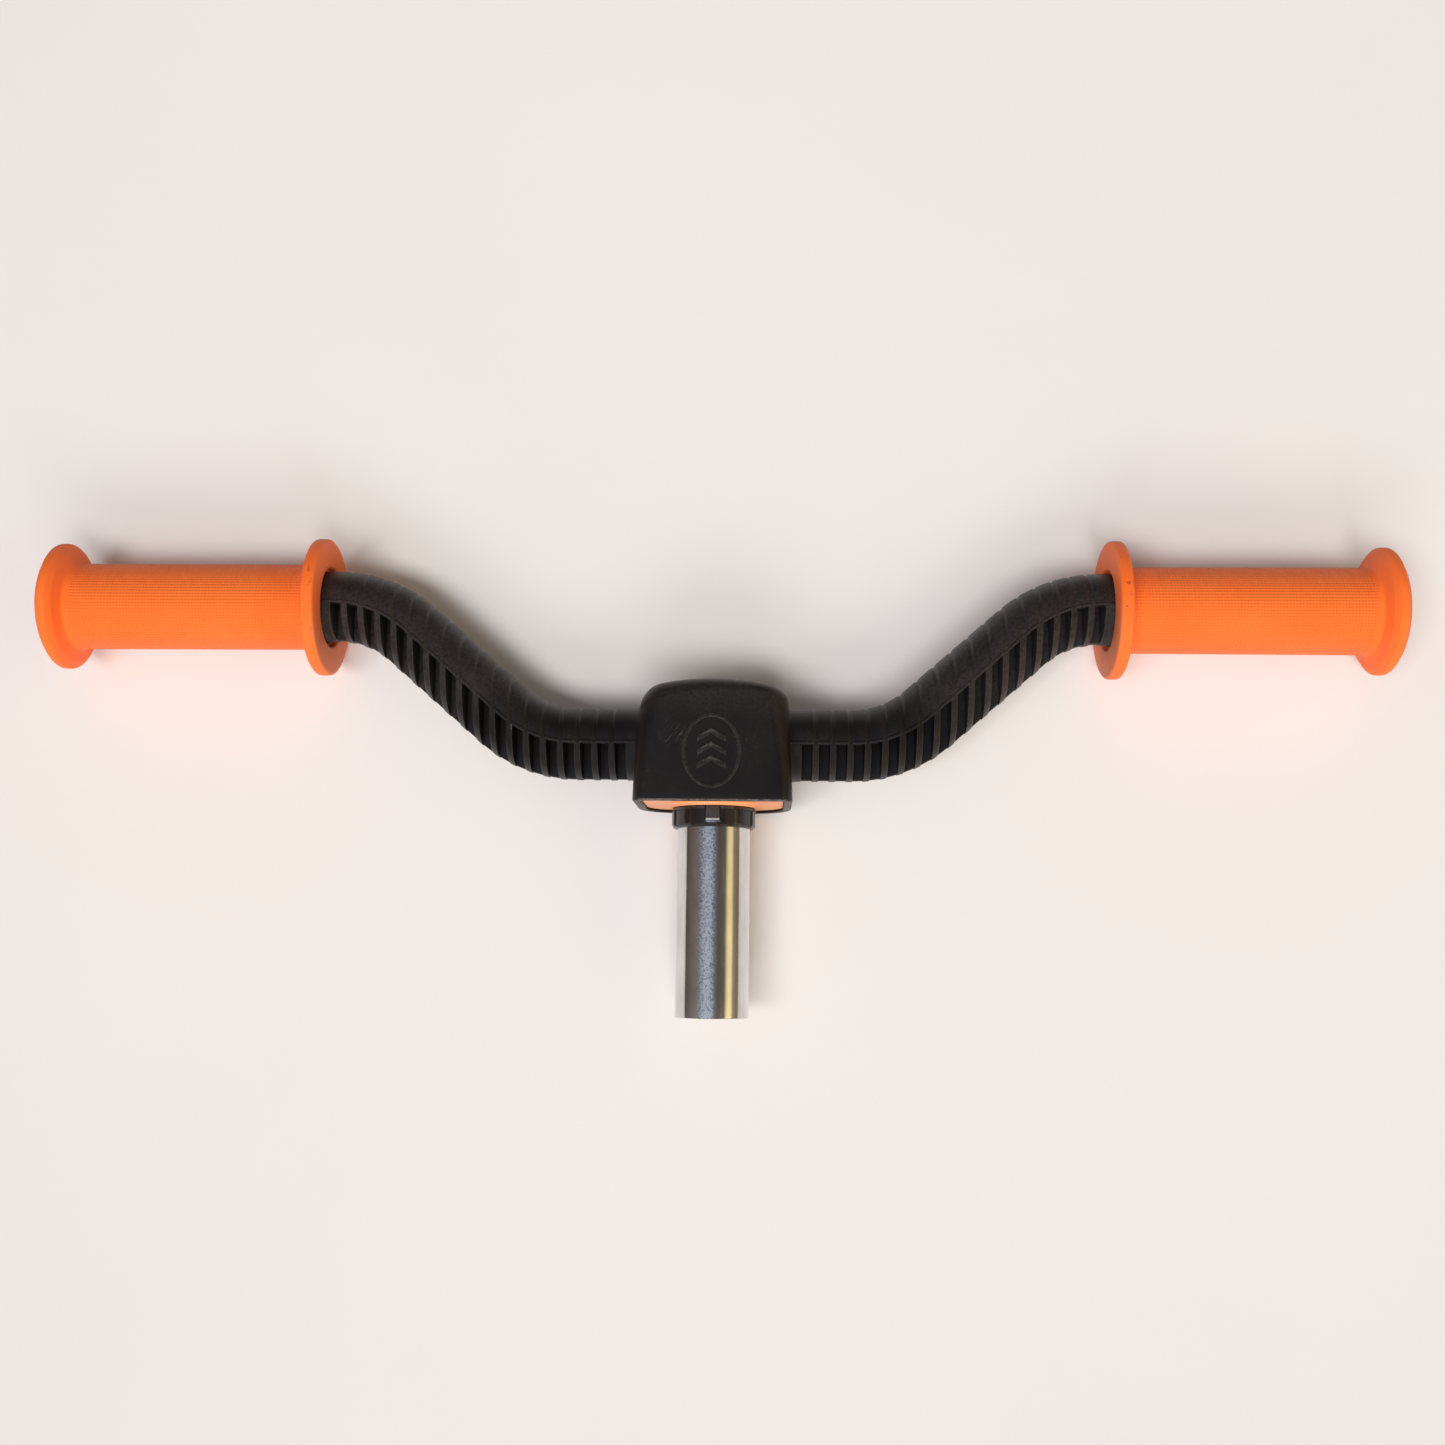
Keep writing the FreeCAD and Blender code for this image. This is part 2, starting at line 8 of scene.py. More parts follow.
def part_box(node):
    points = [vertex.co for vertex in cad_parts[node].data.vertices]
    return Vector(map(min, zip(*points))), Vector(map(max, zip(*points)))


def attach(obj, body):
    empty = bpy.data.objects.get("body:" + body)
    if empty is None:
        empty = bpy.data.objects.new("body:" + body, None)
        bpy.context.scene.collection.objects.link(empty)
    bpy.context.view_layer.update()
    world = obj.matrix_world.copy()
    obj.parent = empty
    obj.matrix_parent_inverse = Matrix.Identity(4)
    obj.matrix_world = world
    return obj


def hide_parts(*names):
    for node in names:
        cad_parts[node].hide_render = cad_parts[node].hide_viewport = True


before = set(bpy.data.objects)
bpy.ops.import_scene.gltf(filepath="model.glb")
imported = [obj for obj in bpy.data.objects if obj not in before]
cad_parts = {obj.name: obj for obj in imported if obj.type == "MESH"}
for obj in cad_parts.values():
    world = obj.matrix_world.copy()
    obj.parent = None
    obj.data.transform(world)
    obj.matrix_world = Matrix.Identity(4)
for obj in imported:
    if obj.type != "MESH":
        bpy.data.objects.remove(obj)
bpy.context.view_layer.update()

# Looks of a pogo stick's handlebar unit, which lies on its back on a pale table.
# Shapes are worked out in millimetres in the row frame: +X along the bar, +Y up the stem,
# +Z out of the hub's front. The mesh builders turn them into metres.
MM = 0.001


def node_box(node):
    """Lowest and highest corner of a CAD node, in millimetres."""
    low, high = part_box(node)
    return low / MM, high / MM


GRIP_LOW, GRIP_HIGH = node_box("right_grip")
STEM_LOW, STEM_HIGH = node_box("stem_tube")
COLLAR_LOW, COLLAR_HIGH = node_box("lock_collar")
INSERT_LOW, INSERT_HIGH = node_box("hub_insert")
TAB_LOW, TAB_HIGH = node_box("release_tab")

# bar centreline
GRIP_LEVEL = (GRIP_LOW.y + GRIP_HIGH.y) / 2
HUB_LEVEL = 105.6
BEND_START = 54
BEND_RADIUS = 46
BEND_ANGLE = math.radians(41)
# arm sections
ARM_RADIUS = 14.5
RIB_RADIUS = 14.0
CORE_RADIUS = 11.5
LEDGE = -1.0
WEB_HALF = 1.5
EDGE = 0.3
POCKETS = 18
POCKET_FIRST = 36.2
POCKET_PITCH = 6.7
POCKET_HALF = 2.05
GROOVE_DEPTH = 0.5
ARM_ROOT = 28.0
SPIGOT_END = 261.5
SPIGOT_BORE = 11
# hub shell
HUB_BOTTOM = 81.4
HUB_TOP = 129.6
HUB_HALF = 30.5
HUB_FRONT = 26
HUB_REAR = 27.5
HUB_WALL = 3.2
HUB_TAPER = math.tan(math.radians(2))
HUB_CROWN = 7.2
HUB_DOME = 2.6
DOME_REACH = 23
CROWN_LEFT = 8.6
CROWN_RIGHT = 4.6
REAR_DROP = 0.3
INSERT_FLOOR = 82.0
# stem and collar
STEM_RADIUS = STEM_HIGH.x
STEM_WALL = 1.5
RIBS = 10
WINDOW_HALF = 3.1
WINDOW_BOTTOM = 74.1


# ---------------------------------------------------------------- mesh builders

def new_piece(name, points, faces, smooth=35):
    """Mesh object from points in millimetres: welded, cleaned and shaded smooth."""
    mesh = bpy.data.meshes.new(name)
    mesh.from_pydata([Vector(p) * MM for p in points], [], faces)
    work = bmesh.new()
    work.from_mesh(mesh)
    bmesh.ops.remove_doubles(work, verts=work.verts, dist=0.004 * MM)
    bmesh.ops.dissolve_degenerate(work, edges=work.edges, dist=0.002 * MM)
    bmesh.ops.recalc_face_normals(work, faces=work.faces)
    work.to_mesh(mesh)
    work.free()
    mesh.shade_smooth()
    mesh.set_sharp_from_angle(angle=math.radians(smooth))
    piece = bpy.data.objects.new(name, mesh)
    bpy.context.scene.collection.objects.link(piece)
    return piece


class Builder:
    """Collects points and faces; the piece is welded when it is made."""

    def __init__(self):
        self.points = []
        self.faces = []

    def row(self, points):
        start = len(self.points)
        self.points.extend(points)
        return list(range(start, start + len(points)))

    def strip(self, first, second, closed=False):
        """Quads between two rows of the same length."""
        count = len(first)
        for index in range(count if closed else count - 1):
            after = (index + 1) % count
            self.faces.append((first[index], first[after], second[after], second[index]))

    def grid(self, rows, closed=False):
        made = [self.row(points) for points in rows]
        for first, second in zip(made, made[1:]):
            self.strip(first, second, closed)
        return made

    def face(self, points):
        self.faces.append(tuple(self.row(points)))

    def piece(self, name, smooth=35):
        return new_piece(name, self.points, self.faces, smooth)


def ramp(value, low, high):
    """0 below low, 1 above high, smooth between."""
    t = min(max((value - low) / (high - low), 0), 1)
    return t * t * (3 - 2 * t)


def fillet(corners, steps=4):
    """Closed outline through corners (a, b, radius), with each corner rounded."""
    outline = []
    count = len(corners)
    for index, (a, b, radius) in enumerate(corners):
        here = Vector((a, b))
        before = Vector(corners[index - 1][:2]) - here
        after = Vector(corners[(index + 1) % count][:2]) - here
        if radius == 0:
            outline.append(here)
            continue
        turn = before.angle(after)
        reach = radius / math.tan(turn / 2)
        middle = before.normalized() + after.normalized()
        centre = here + middle.normalized() * radius / math.sin(turn / 2)
        start = here + before.normalized() * reach - centre
        end = here + after.normalized() * reach - centre
        for step in range(steps + 1):
            outline.append(centre + start.slerp(end, step / steps).normalized() * radius)
    return outline


def turned(name, outline, steps, axis, smooth=35):
    """Piece turned from a closed outline of (along, radius) about X or Y."""
    build = Builder()
    rows = []
    for step in range(steps):
        angle = math.tau * step / steps
        across, out = math.sin(angle), math.cos(angle)
        if axis == "X":
            rows.append([(a, GRIP_LEVEL + r * across, r * out) for a, r in outline])
        else:
            rows.append([(r * across, a, r * out) for a, r in outline])
    rows.append(rows[0])
    build.grid(rows, closed=True)
    return build.piece(name, smooth)


def subdivide(outline, longest):
    """Adds points so that no side of a closed outline is longer than longest."""
    result = []
    for index, here in enumerate(outline):
        after = outline[(index + 1) % len(outline)]
        parts = max(1, math.ceil((after - here).length / longest))
        result.extend(here.lerp(after, part / parts) for part in range(parts))
    return result


# ---------------------------------------------------------------- arms

RISE = GRIP_LEVEL - HUB_LEVEL
SLOPE_LENGTH = (RISE - 2 * BEND_RADIUS * (1 - math.cos(BEND_ANGLE))) / math.sin(BEND_ANGLE)
BEND_RUN = BEND_RADIUS * math.sin(BEND_ANGLE)
BEND_RISE = BEND_RADIUS * (1 - math.cos(BEND_ANGLE))
SLOPE_X = BEND_START + BEND_RUN
SLOPE_Y = HUB_LEVEL + BEND_RISE
BEND_END = SLOPE_X + SLOPE_LENGTH * math.cos(BEND_ANGLE) + BEND_RUN


def bar_point(x, up, out):
    """Point of the right arm at x, up square to the centreline and out to the front."""
    low_reach = (BEND_RADIUS - up) * math.sin(BEND_ANGLE)
    high_reach = (BEND_RADIUS + up) * math.sin(BEND_ANGLE)
    if x <= BEND_START:
        y = HUB_LEVEL + up
    elif x - BEND_START <= low_reach:
        y = HUB_LEVEL + BEND_RADIUS - math.sqrt((BEND_RADIUS - up) ** 2 - (x - BEND_START) ** 2)
    elif x >= BEND_END:
        y = GRIP_LEVEL + up
    elif BEND_END - x <= high_reach:
        y = GRIP_LEVEL - BEND_RADIUS + math.sqrt((BEND_RADIUS + up) ** 2 - (BEND_END - x) ** 2)
    else:
        along = (x - SLOPE_X + up * math.sin(BEND_ANGLE)) / math.cos(BEND_ANGLE)
        y = SLOPE_Y + along * math.sin(BEND_ANGLE) + up * math.cos(BEND_ANGLE)
    return x, y, out


RIB_HALF = POCKET_PITCH / 2 - POCKET_HALF
RIB_CENTRES = [POCKET_FIRST + POCKET_PITCH * (number + 0.5) for number in range(POCKETS - 1)]
RIBBED_START = POCKET_FIRST - POCKET_HALF
RIBBED_END = POCKET_FIRST + POCKET_PITCH * (POCKETS - 1) + POCKET_HALF
LEDGE_END = 156.2
FLARE_END = 33.0
FLARE = 1.4


def groove_at(x):
    """Depth of the ring grooves, one over each rib."""
    nearest = min(abs(x - centre) for centre in RIB_CENTRES)
    return GROOVE_DEPTH * (1 - ramp(nearest, 0.1, 1.15))


def flare_at(x):
    """Extra radius where the arm runs out of the hub's side."""
    t = min(max((FLARE_END - x) / (FLARE_END - ARM_ROOT), 0), 1)
    return FLARE * t * t * t


DOME_STEPS = 30
DOME_EDGE = [(-0.25, LEDGE), (-0.06, LEDGE + 0.16), (0, LEDGE + 0.42), (0, LEDGE + 0.95),
             (-0.3, LEDGE + 1.25), (0, LEDGE + 1.55)]


def dome_profile(x):
    """Half of the dome's outside from its lower edge to its crown, as (up, out)."""
    groove = groove_at(x)
    flare = flare_at(x)
    floor = RIB_RADIUS + flare
    radius = ARM_RADIUS - groove + flare
    points = []
    for inset, up in DOME_EDGE:
        r = max(radius + inset, floor)
        points.append((up, math.sqrt(r * r - up * up)))
    first = math.asin((LEDGE + 1.9) / radius)
    half = DOME_STEPS // 2
    for step in range(half + 1):
        angle = first + (math.pi / 2 - first) * step / half
        points.append((radius * math.sin(angle), radius * math.cos(angle)))
    return points


def both_sides(half):
    """A half profile and its mirror image, joined at the crown."""
    return half + [(up, -out) for up, out in reversed(half[:-1])]


LOWER_STEPS = 12
WEB_FOOT = 1.2


def rib_profile(radius):
    """Lower outline of a rib from the front ledge to the rear one."""
    first = math.asin(LEDGE / radius)
    last = -math.acos(WEB_FOOT / (RIB_RADIUS - EDGE))
    half = []
    for step in range(LOWER_STEPS + 1):
        angle = first + (last - first) * step / LOWER_STEPS
        half.append((radius * math.sin(angle), radius * math.cos(angle)))
    half.append((-radius, 0))
    return both_sides(half)


def lining_profile():
    """Front half of a pocket's walls: ledge, inner arc, web side and the web's foot."""
    foot = RIB_RADIUS - EDGE
    top = math.asin(math.sqrt(CORE_RADIUS ** 2 - WEB_HALF ** 2) / CORE_RADIUS)
    low = math.asin(LEDGE / CORE_RADIUS)
    half = []
    for step in range(9):
        angle = low + (top - low) * step / 8
        half.append((CORE_RADIUS * math.sin(angle), CORE_RADIUS * math.cos(angle)))
    roof = half[-1][0] - 0.6
    half[-1] = (roof + 0.45, WEB_HALF + 0.6)
    half.append((roof, WEB_HALF + 0.1))
    for share in (0.15, 0.5, 0.85):
        half.append((roof + (0.6 - foot - roof) * share, WEB_HALF))
    half.append((0.6 - foot, WEB_HALF))
    half.append((0.25 - foot, WEB_HALF - 0.08))
    half.append((-math.sqrt(foot ** 2 - WEB_FOOT ** 2), WEB_FOOT))
    return half


def in_pocket(low, high):
    """Whether the stretch from low to high lies in a pocket."""
    middle = (low + high) / 2
    if middle < RIBBED_START or middle > RIBBED_END:
        return False
    return all(abs(middle - centre) > RIB_HALF for centre in RIB_CENTRES)


def rib_radius_at(x):
    """Radius of the lower half: rounded off at the pockets' edges."""
    edges = [centre + side * RIB_HALF for centre in RIB_CENTRES for side in (-1, 1)]
    edges += [RIBBED_START, RIBBED_END]
    nearest = min(abs(x - edge) for edge in edges)
    t = min(nearest / EDGE, 1)
    radius = RIB_RADIUS - EDGE * (1 - math.sqrt(1 - (1 - t) ** 2))
    closing = ramp(x, LEDGE_END - 1, LEDGE_END)
    return radius + flare_at(x) + (ARM_RADIUS - RIB_RADIUS) * closing


def arm_stations():
    """Places along the arm where its section is drawn."""
    stations = {ARM_ROOT, 29, 30, 31, 32, 33, RIBBED_START - EDGE, RIBBED_START - EDGE / 3}
    stations |= {RIBBED_START, RIBBED_END, RIBBED_END + EDGE / 3, RIBBED_END + EDGE, 153, LEDGE_END - 1,
                 LEDGE_END - 0.5, LEDGE_END, 175, 205, 235, SPIGOT_END - 0.6}
    for centre in RIB_CENTRES:
        for offset in (0.15, 0.4, 0.7, RIB_HALF - EDGE, RIB_HALF - EDGE / 3, RIB_HALF, 1.6, 2.3, 3.1):
            stations |= {centre - offset, centre + offset}
        stations.add(centre)
    ordered = []
    for x in sorted(stations):
        if not ordered or x - ordered[-1] > 0.05:
            ordered.append(x)
    return ordered


def arm_half():
    """Right arm with its domed top, ribs, pockets, web and the spigot in the grip."""
    build = Builder()
    stations = arm_stations()
    for low, high in zip(stations, stations[1:]):
        build.grid([on_bar(x, both_sides(dome_profile(x))) for x in (low, high)])
        if in_pocket(low, high):
            add_pocket(build, low, high)
        else:
            add_solid(build, low, high)
    for x in stations:
        before = in_pocket(x - 0.02, x)
        after = in_pocket(x, x + 0.02)
        if before != after:
            add_pocket_end(build, x)
    add_root(build, stations[0])
    add_spigot_end(build, stations[-1])
    return build


def on_bar(x, profile):
    return [bar_point(x, up, out) for up, out in profile]


def ledge_rows(x, inner, side):
    """Points across the ledge's underside, from a radius inside to the dome's edge."""
    outer = dome_profile(x)[0][1]
    return [bar_point(x, LEDGE, side * inner), bar_point(x, LEDGE, side * outer)]


def add_solid(build, low, high):
    lower = [rib_profile(rib_radius_at(x)) for x in (low, high)]
    build.grid([on_bar(x, profile) for x, profile in zip((low, high), lower)])
    for side in (1, -1):
        build.grid([ledge_rows(x, profile[0][1], side) for x, profile in zip((low, high), lower)])


def add_pocket(build, low, high):
    lining = both_sides(lining_profile() + [(EDGE - RIB_RADIUS, 0)])
    build.grid([on_bar(x, lining) for x in (low, high)])
    rim = math.sqrt((RIB_RADIUS - EDGE) ** 2 - LEDGE ** 2)
    for side in (1, -1):
        build.grid([ledge_rows(x, rim, side) for x in (low, high)])
        build.grid([[bar_point(x, LEDGE, side * lining[0][1]), bar_point(x, LEDGE, side * rim)]
                    for x in (low, high)])


def add_pocket_end(build, x):
    """Flat walls at one end of a pocket, on both sides of the web."""
    outline = rib_profile(RIB_RADIUS - EDGE)[:LOWER_STEPS + 1]
    loop = lining_profile() + list(reversed(outline[:-1]))
    for side in (1, -1):
        build.face([bar_point(x, up, side * out) for up, out in loop])


def section_loop(x):
    dome = both_sides(dome_profile(x))
    lower = rib_profile(rib_radius_at(x))
    return on_bar(x, dome + list(reversed(lower)))


def add_root(build, x):
    build.face(section_loop(x))


def add_spigot_end(build, x):
    """Rounded end face with the bore behind it."""
    rim = section_loop(x)
    rows = [rim]
    for x_at, radius in ((SPIGOT_END, ARM_RADIUS - 0.6), (SPIGOT_END, SPIGOT_BORE + 0.4),
                         (SPIGOT_END - 0.4, SPIGOT_BORE), (GRIP_LOW.x + 12, SPIGOT_BORE)):
        rows.append([ring_point(point, x_at, radius) for point in rim])
    made = build.grid(rows, closed=True)
    build.faces.append(tuple(made[-1]))


def ring_point(point, x, radius):
    """The rim's point moved to x and to a radius about the grip's axis."""
    direction = Vector((point[1] - GRIP_LEVEL, point[2])).normalized() * radius
    return x, GRIP_LEVEL + direction.x, direction.y


def mirrored_points(points):
    return [(-x, y, z) for x, y, z in points]


# ---------------------------------------------------------------- hub shell

def plan_outline(half_width, front, rear, front_corner, rear_corner):
    """Rectangle with tight front corners and wide rear ones, as (x, z), anticlockwise."""
    corners = [(half_width, front, front_corner, 0), (-half_width, front, front_corner, 1),
               (-half_width, -rear, rear_corner, 2), (half_width, -rear, rear_corner, 3)]
    arc_steps = 8
    side_steps = 10
    outline = []
    for index, (x, z, radius, quarter) in enumerate(corners):
        centre = Vector((x - math.copysign(radius, x), z - math.copysign(radius, z)))
        for step in range(arc_steps + 1):
            angle = (quarter + step / arc_steps) * math.pi / 2
            outline.append(centre + Vector((math.cos(angle), math.sin(angle))) * radius)
        next_x, next_z, next_radius, _ = corners[(index + 1) % 4]
        next_centre = Vector((next_x - math.copysign(next_radius, next_x),
                              next_z - math.copysign(next_radius, next_z)))
        angle = (quarter + 1) * math.pi / 2
        start = outline[-1]
        end = next_centre + Vector((math.cos(angle), math.sin(angle))) * next_radius
        outline.extend(start.lerp(end, step / side_steps) for step in range(1, side_steps))
    return outline


def hub_outline(y, inset=0.0):
    """Plan of the hub shell at a level, moved inwards by inset."""
    narrowing = HUB_TAPER * (y - HUB_BOTTOM) + inset
    share = ramp(y, HUB_BOTTOM + 6, HUB_TOP)
    front_corner = max(5.5 + 4.5 * share - inset, 1.2)
    rear_corner = max(18 + 2 * share - inset, 1.2)
    return plan_outline(HUB_HALF - narrowing, HUB_FRONT - narrowing, HUB_REAR - narrowing,
                        front_corner, rear_corner)


def rim_drop(z):
    """How much lower the shell's lower edge is towards the rear."""
    return REAR_DROP * ramp(-z, -HUB_FRONT, HUB_REAR)


def hub_row(y, inset=0.0, drop=False):
    return [(p.x, y - (rim_drop(p.y) if drop else 0), p.y) for p in hub_outline(y, inset)]


def crown_height(x):
    """How far below the top the side starts to curve: further on the left."""
    return CROWN_RIGHT + (CROWN_LEFT - CROWN_RIGHT) * ramp(-x, -HUB_HALF, HUB_HALF)


def top_at(x, top):
    """Level of the top, which falls away to both sides."""
    return top - HUB_DOME * (x / DOME_REACH) ** 2


def crown_rows(top, crown, inset):
    """Rows over the rounded crown to the middle of the top."""
    rows = []
    for step in range(13):
        angle = math.pi / 2 * step / 12
        row = []
        for x, _, z in hub_row(top, inset + crown * (1 - math.cos(angle))):
            height = crown_height(x) - inset
            row.append((x, top_at(x, top) - height * (1 - math.sin(angle)), z))
        rows.append(row)
    edge = rows[-1]
    middle = (HUB_FRONT - HUB_REAR) / 2
    for share in (0.86, 0.7, 0.52, 0.34, 0.17, 0.06):
        rows.append([(x * share, top_at(x * share, top), middle + (z - middle) * share)
                     for x, _, z in edge])
    return rows


def add_hub(build):
    """Open-bottomed shell: outside with its crown, lower rim, and the inside."""
    rim = [hub_row(HUB_BOTTOM + up, inset, drop=True)
           for up, inset in ((0.0, HUB_WALL - 0.25), (0.0, 0.75), (0.08, 0.4), (0.3, 0.12), (0.75, 0))]
    wall = [hub_row(HUB_BOTTOM + up) for up in (3, 6, 10, 14, 19, 24, 29, 33)]
    outside = rim + wall + crown_rows(HUB_TOP, HUB_CROWN, 0)
    made = build.grid(outside, closed=True)
    build.faces.append(tuple(made[-1]))
    inside = [rim[0], hub_row(HUB_BOTTOM + 0.25, HUB_WALL, drop=True)]
    inside += [hub_row(HUB_BOTTOM + up, HUB_WALL) for up in (2.2, 10, 22, 32)]
    inside += crown_rows(HUB_TOP - HUB_WALL, HUB_CROWN - HUB_WALL, HUB_WALL)
    made = build.grid(inside, closed=True)
    build.faces.append(tuple(made[-1]))


def handlebar_moulding():
    build = arm_half()
    right_points = list(build.points)
    right_faces = list(build.faces)
    offset = len(build.points)
    build.points.extend(mirrored_points(right_points))
    build.faces.extend(tuple(index + offset for index in reversed(face)) for face in right_faces)
    add_hub(build)
    return build.piece("handlebar_shell", smooth=38)


# ---------------------------------------------------------------- emblem on the hub

EMBLEM_X = -0.4
EMBLEM_Y = 100.5
EMBLEM_RISE = 0.45


def front_face_z(y):
    """Front of the hub at a level."""
    return HUB_FRONT - HUB_TAPER * (y - HUB_BOTTOM)


def raised_band(build, centre_line, half_width):
    """Raised band with sloping sides along a closed line of (x, y, normal)."""
    profile = ((-half_width, -0.3), (-half_width + 0.08, EMBLEM_RISE * 0.7),
               (-half_width + 0.3, EMBLEM_RISE), (half_width - 0.3, EMBLEM_RISE),
               (half_width - 0.08, EMBLEM_RISE * 0.7), (half_width, -0.3))
    rows = []
    for point, normal in centre_line:
        row = []
        for across, rise in profile:
            place = point + normal * across
            row.append((place.x, place.y, front_face_z(place.y) + rise))
        rows.append(row)
    rows.append(rows[0])
    build.grid(rows, closed=True)


def ellipse_line(half_width, half_height, steps=72):
    line = []
    for step in range(steps):
        angle = math.tau * step / steps
        point = Vector((EMBLEM_X + half_width * math.cos(angle),
                        EMBLEM_Y + half_height * math.sin(angle)))
        normal = Vector((math.cos(angle) / half_width, math.sin(angle) / half_height)).normalized()
        line.append((point, normal))
    return line


def raised_plate(build, corners, radius):
    """Raised plate with rounded corners and sloping sides."""
    outline = fillet([(x, y, radius) for x, y in corners], 5)
    made = []
    for shrink, rise in ((0, -0.3), (0.08, EMBLEM_RISE * 0.7), (0.3, EMBLEM_RISE)):
        made.append([(p.x, p.y, front_face_z(p.y) + rise) for p in shrunk(outline, shrink)])
    top = build.grid(made, closed=True)[-1]
    build.faces.append(tuple(top))
    build.faces.append(tuple(build.row(made[0])))


def shrunk(outline, distance):
    """Outline moved inwards, point by point along the bisectors."""
    count = len(outline)
    area = sum(outline[i - 1].cross(outline[i]) for i in range(count))
    turn = 1 if area > 0 else -1
    result = []
    for index, here in enumerate(outline):
        along = (outline[(index + 1) % count] - outline[index - 1]).normalized()
        result.append(here + Vector((-along.y, along.x)) * distance * turn)
    return result


def hub_emblem():
    """Generic mark: an oval ring round three stacked chevrons."""
    build = Builder()
    raised_band(build, ellipse_line(10.6, 13.6), 0.75)
    for number in range(3):
        low = EMBLEM_Y - 7.2 + number * 5.2
        half = 5.6
        drop = 3.2
        thick = 2.3
        corners = [(EMBLEM_X - half, low), (EMBLEM_X, low + drop), (EMBLEM_X + half, low),
                   (EMBLEM_X + half, low + thick), (EMBLEM_X, low + drop + thick),
                   (EMBLEM_X - half, low + thick)]
        raised_plate(build, corners, 0.35)
    return build.piece("hub_emblem")


# ---------------------------------------------------------------- grips

FLANGE_RADIUS = GRIP_HIGH.z
BARREL_RADIUS = 17.1
GRIP_BORE = 14.55
MOUTH_RADIUS = 15.9


def grip_outline():
    """Right grip from its mouth to its closed end, as (x, radius)."""
    start = GRIP_LOW.x
    end = GRIP_HIGH.x
    corners = [
        (start + 2.2, MOUTH_RADIUS, 0.4),
        (start, MOUTH_RADIUS, 0.9),
        (start, FLANGE_RADIUS, 1.5),
        (start + 5.2, FLANGE_RADIUS, 1.3),
        (start + 5.2, BARREL_RADIUS, 1.0),
        (end - 9.9, BARREL_RADIUS + 0.2, 1.6),
        (end - 8.3, 22.7, 1.4),
        (end - 6.4, 25.3, 1.2),
        (end - 3.6, 25.3, 1.3),
        (end - 1.4, 22, 2.5),
        (end, 14, 5),
        (end, 0.02, 0),
        (end - 6, 0.02, 0),
        (end - 6, GRIP_BORE, 0.4),
        (start + 2.2, GRIP_BORE, 0.2),
    ]
    return [(p.x, p.y) for p in subdivide(fillet(corners), 6)]


def grip(name, side):
    outline = [(side * x, radius) for x, radius in grip_outline()]
    return turned(name, outline, 120, "X", smooth=50)


# ---------------------------------------------------------------- insert, collar, tab, stem

PLATE_THICKNESS = 3.5
PLATE_FACE = 0.15
NECK_BORE = 16.02
SLEEVE_RADIUS = 20.5


def hub_insert():
    """Plate with a boss over the collar, and the sleeve inside the hub that holds the neck."""
    build = Builder()
    floor = INSERT_FLOOR
    boss = INSERT_LOW.y
    face = floor + PLATE_FACE
    back = floor + PLATE_THICKNESS
    gap = HUB_WALL + 0.1
    centre_z = (HUB_FRONT - HUB_REAR) / 2
    plans = [(back, 0), (floor + 0.5, 0), (floor + 0.25, 0.1), (face, 0.35)]
    rows = [[(p.x, y, p.y) for p in hub_outline(y, gap + inset)] for y, inset in plans]
    hole = NECK_BORE
    rim = COLLAR_HIGH.x
    levels = [(face, rim + 1.2), (floor + 0.1, rim + 0.4), (floor - 0.1, rim + 0.08),
              (floor - 0.3, rim), (boss + 0.2, rim), (boss + 0.05, rim - 0.06), (boss, rim - 0.2),
              (boss, hole + 0.1), (boss + 0.1, hole), (INSERT_HIGH.y, hole),
              (INSERT_HIGH.y, SLEEVE_RADIUS), (back, SLEEVE_RADIUS)]
    for y, radius in levels:
        ring = []
        for x, _, z in rows[0]:
            angle = math.atan2(z - centre_z, x)
            ring.append((radius * math.cos(angle), y, radius * math.sin(angle)))
        rows.append(ring)
    rows.append(rows[0])
    build.grid(rows, closed=True)
    return build.piece("insert_plate", smooth=40)


COLLAR_RADIUS = COLLAR_HIGH.x
COLLAR_TOP = 80.4
COLLAR_BORE = 14.4
COLLAR_HOLLOW = 0.6
RIB_HALF_ANGLE = math.radians(6)
NECK_RADIUS = 15.94


def collar_radius_at(angle):
    """Outside of the collar: ten ribs, with shallow hollows between them."""
    pitch = math.tau / RIBS
    offset = abs((angle + pitch / 2) % pitch - pitch / 2)
    return COLLAR_RADIUS - COLLAR_HOLLOW * ramp(offset, RIB_HALF_ANGLE - 0.018, RIB_HALF_ANGLE + 0.02)


def collar_section(angle, windowed):
    """Closed section of the collar as (y, radius); in the window only the foot ring."""
    low = COLLAR_LOW.y
    outer = collar_radius_at(angle)
    foot = COLLAR_RADIUS
    base = [(WINDOW_BOTTOM, COLLAR_BORE), (low + 0.25, COLLAR_BORE), (low, COLLAR_BORE + 0.25),
            (low, foot - 1.15), (low + 0.06, foot - 0.95), (low + 0.75, min(outer, foot - 0.3)),
            (low + 0.95, min(outer, foot - 0.12)), (low + 1.2, outer), (WINDOW_BOTTOM, outer)]
    if windowed:
        return base
    high = COLLAR_HIGH.y
    top = [(COLLAR_TOP - 1.3, outer), (COLLAR_TOP - 1.1, max(outer, foot - 0.2)),
           (COLLAR_TOP - 0.3, foot - 0.1), (COLLAR_TOP - 0.08, foot - 0.2),
           (COLLAR_TOP, foot - 0.4), (COLLAR_TOP + 0.02, NECK_RADIUS + 0.02),
           (COLLAR_TOP + 0.1, NECK_RADIUS), (high - 0.3, NECK_RADIUS),
           (high, NECK_RADIUS - 0.3), (high, COLLAR_BORE)]
    return base + top


def collar_point(y, radius, angle):
    return radius * math.sin(angle), y, radius * math.cos(angle)


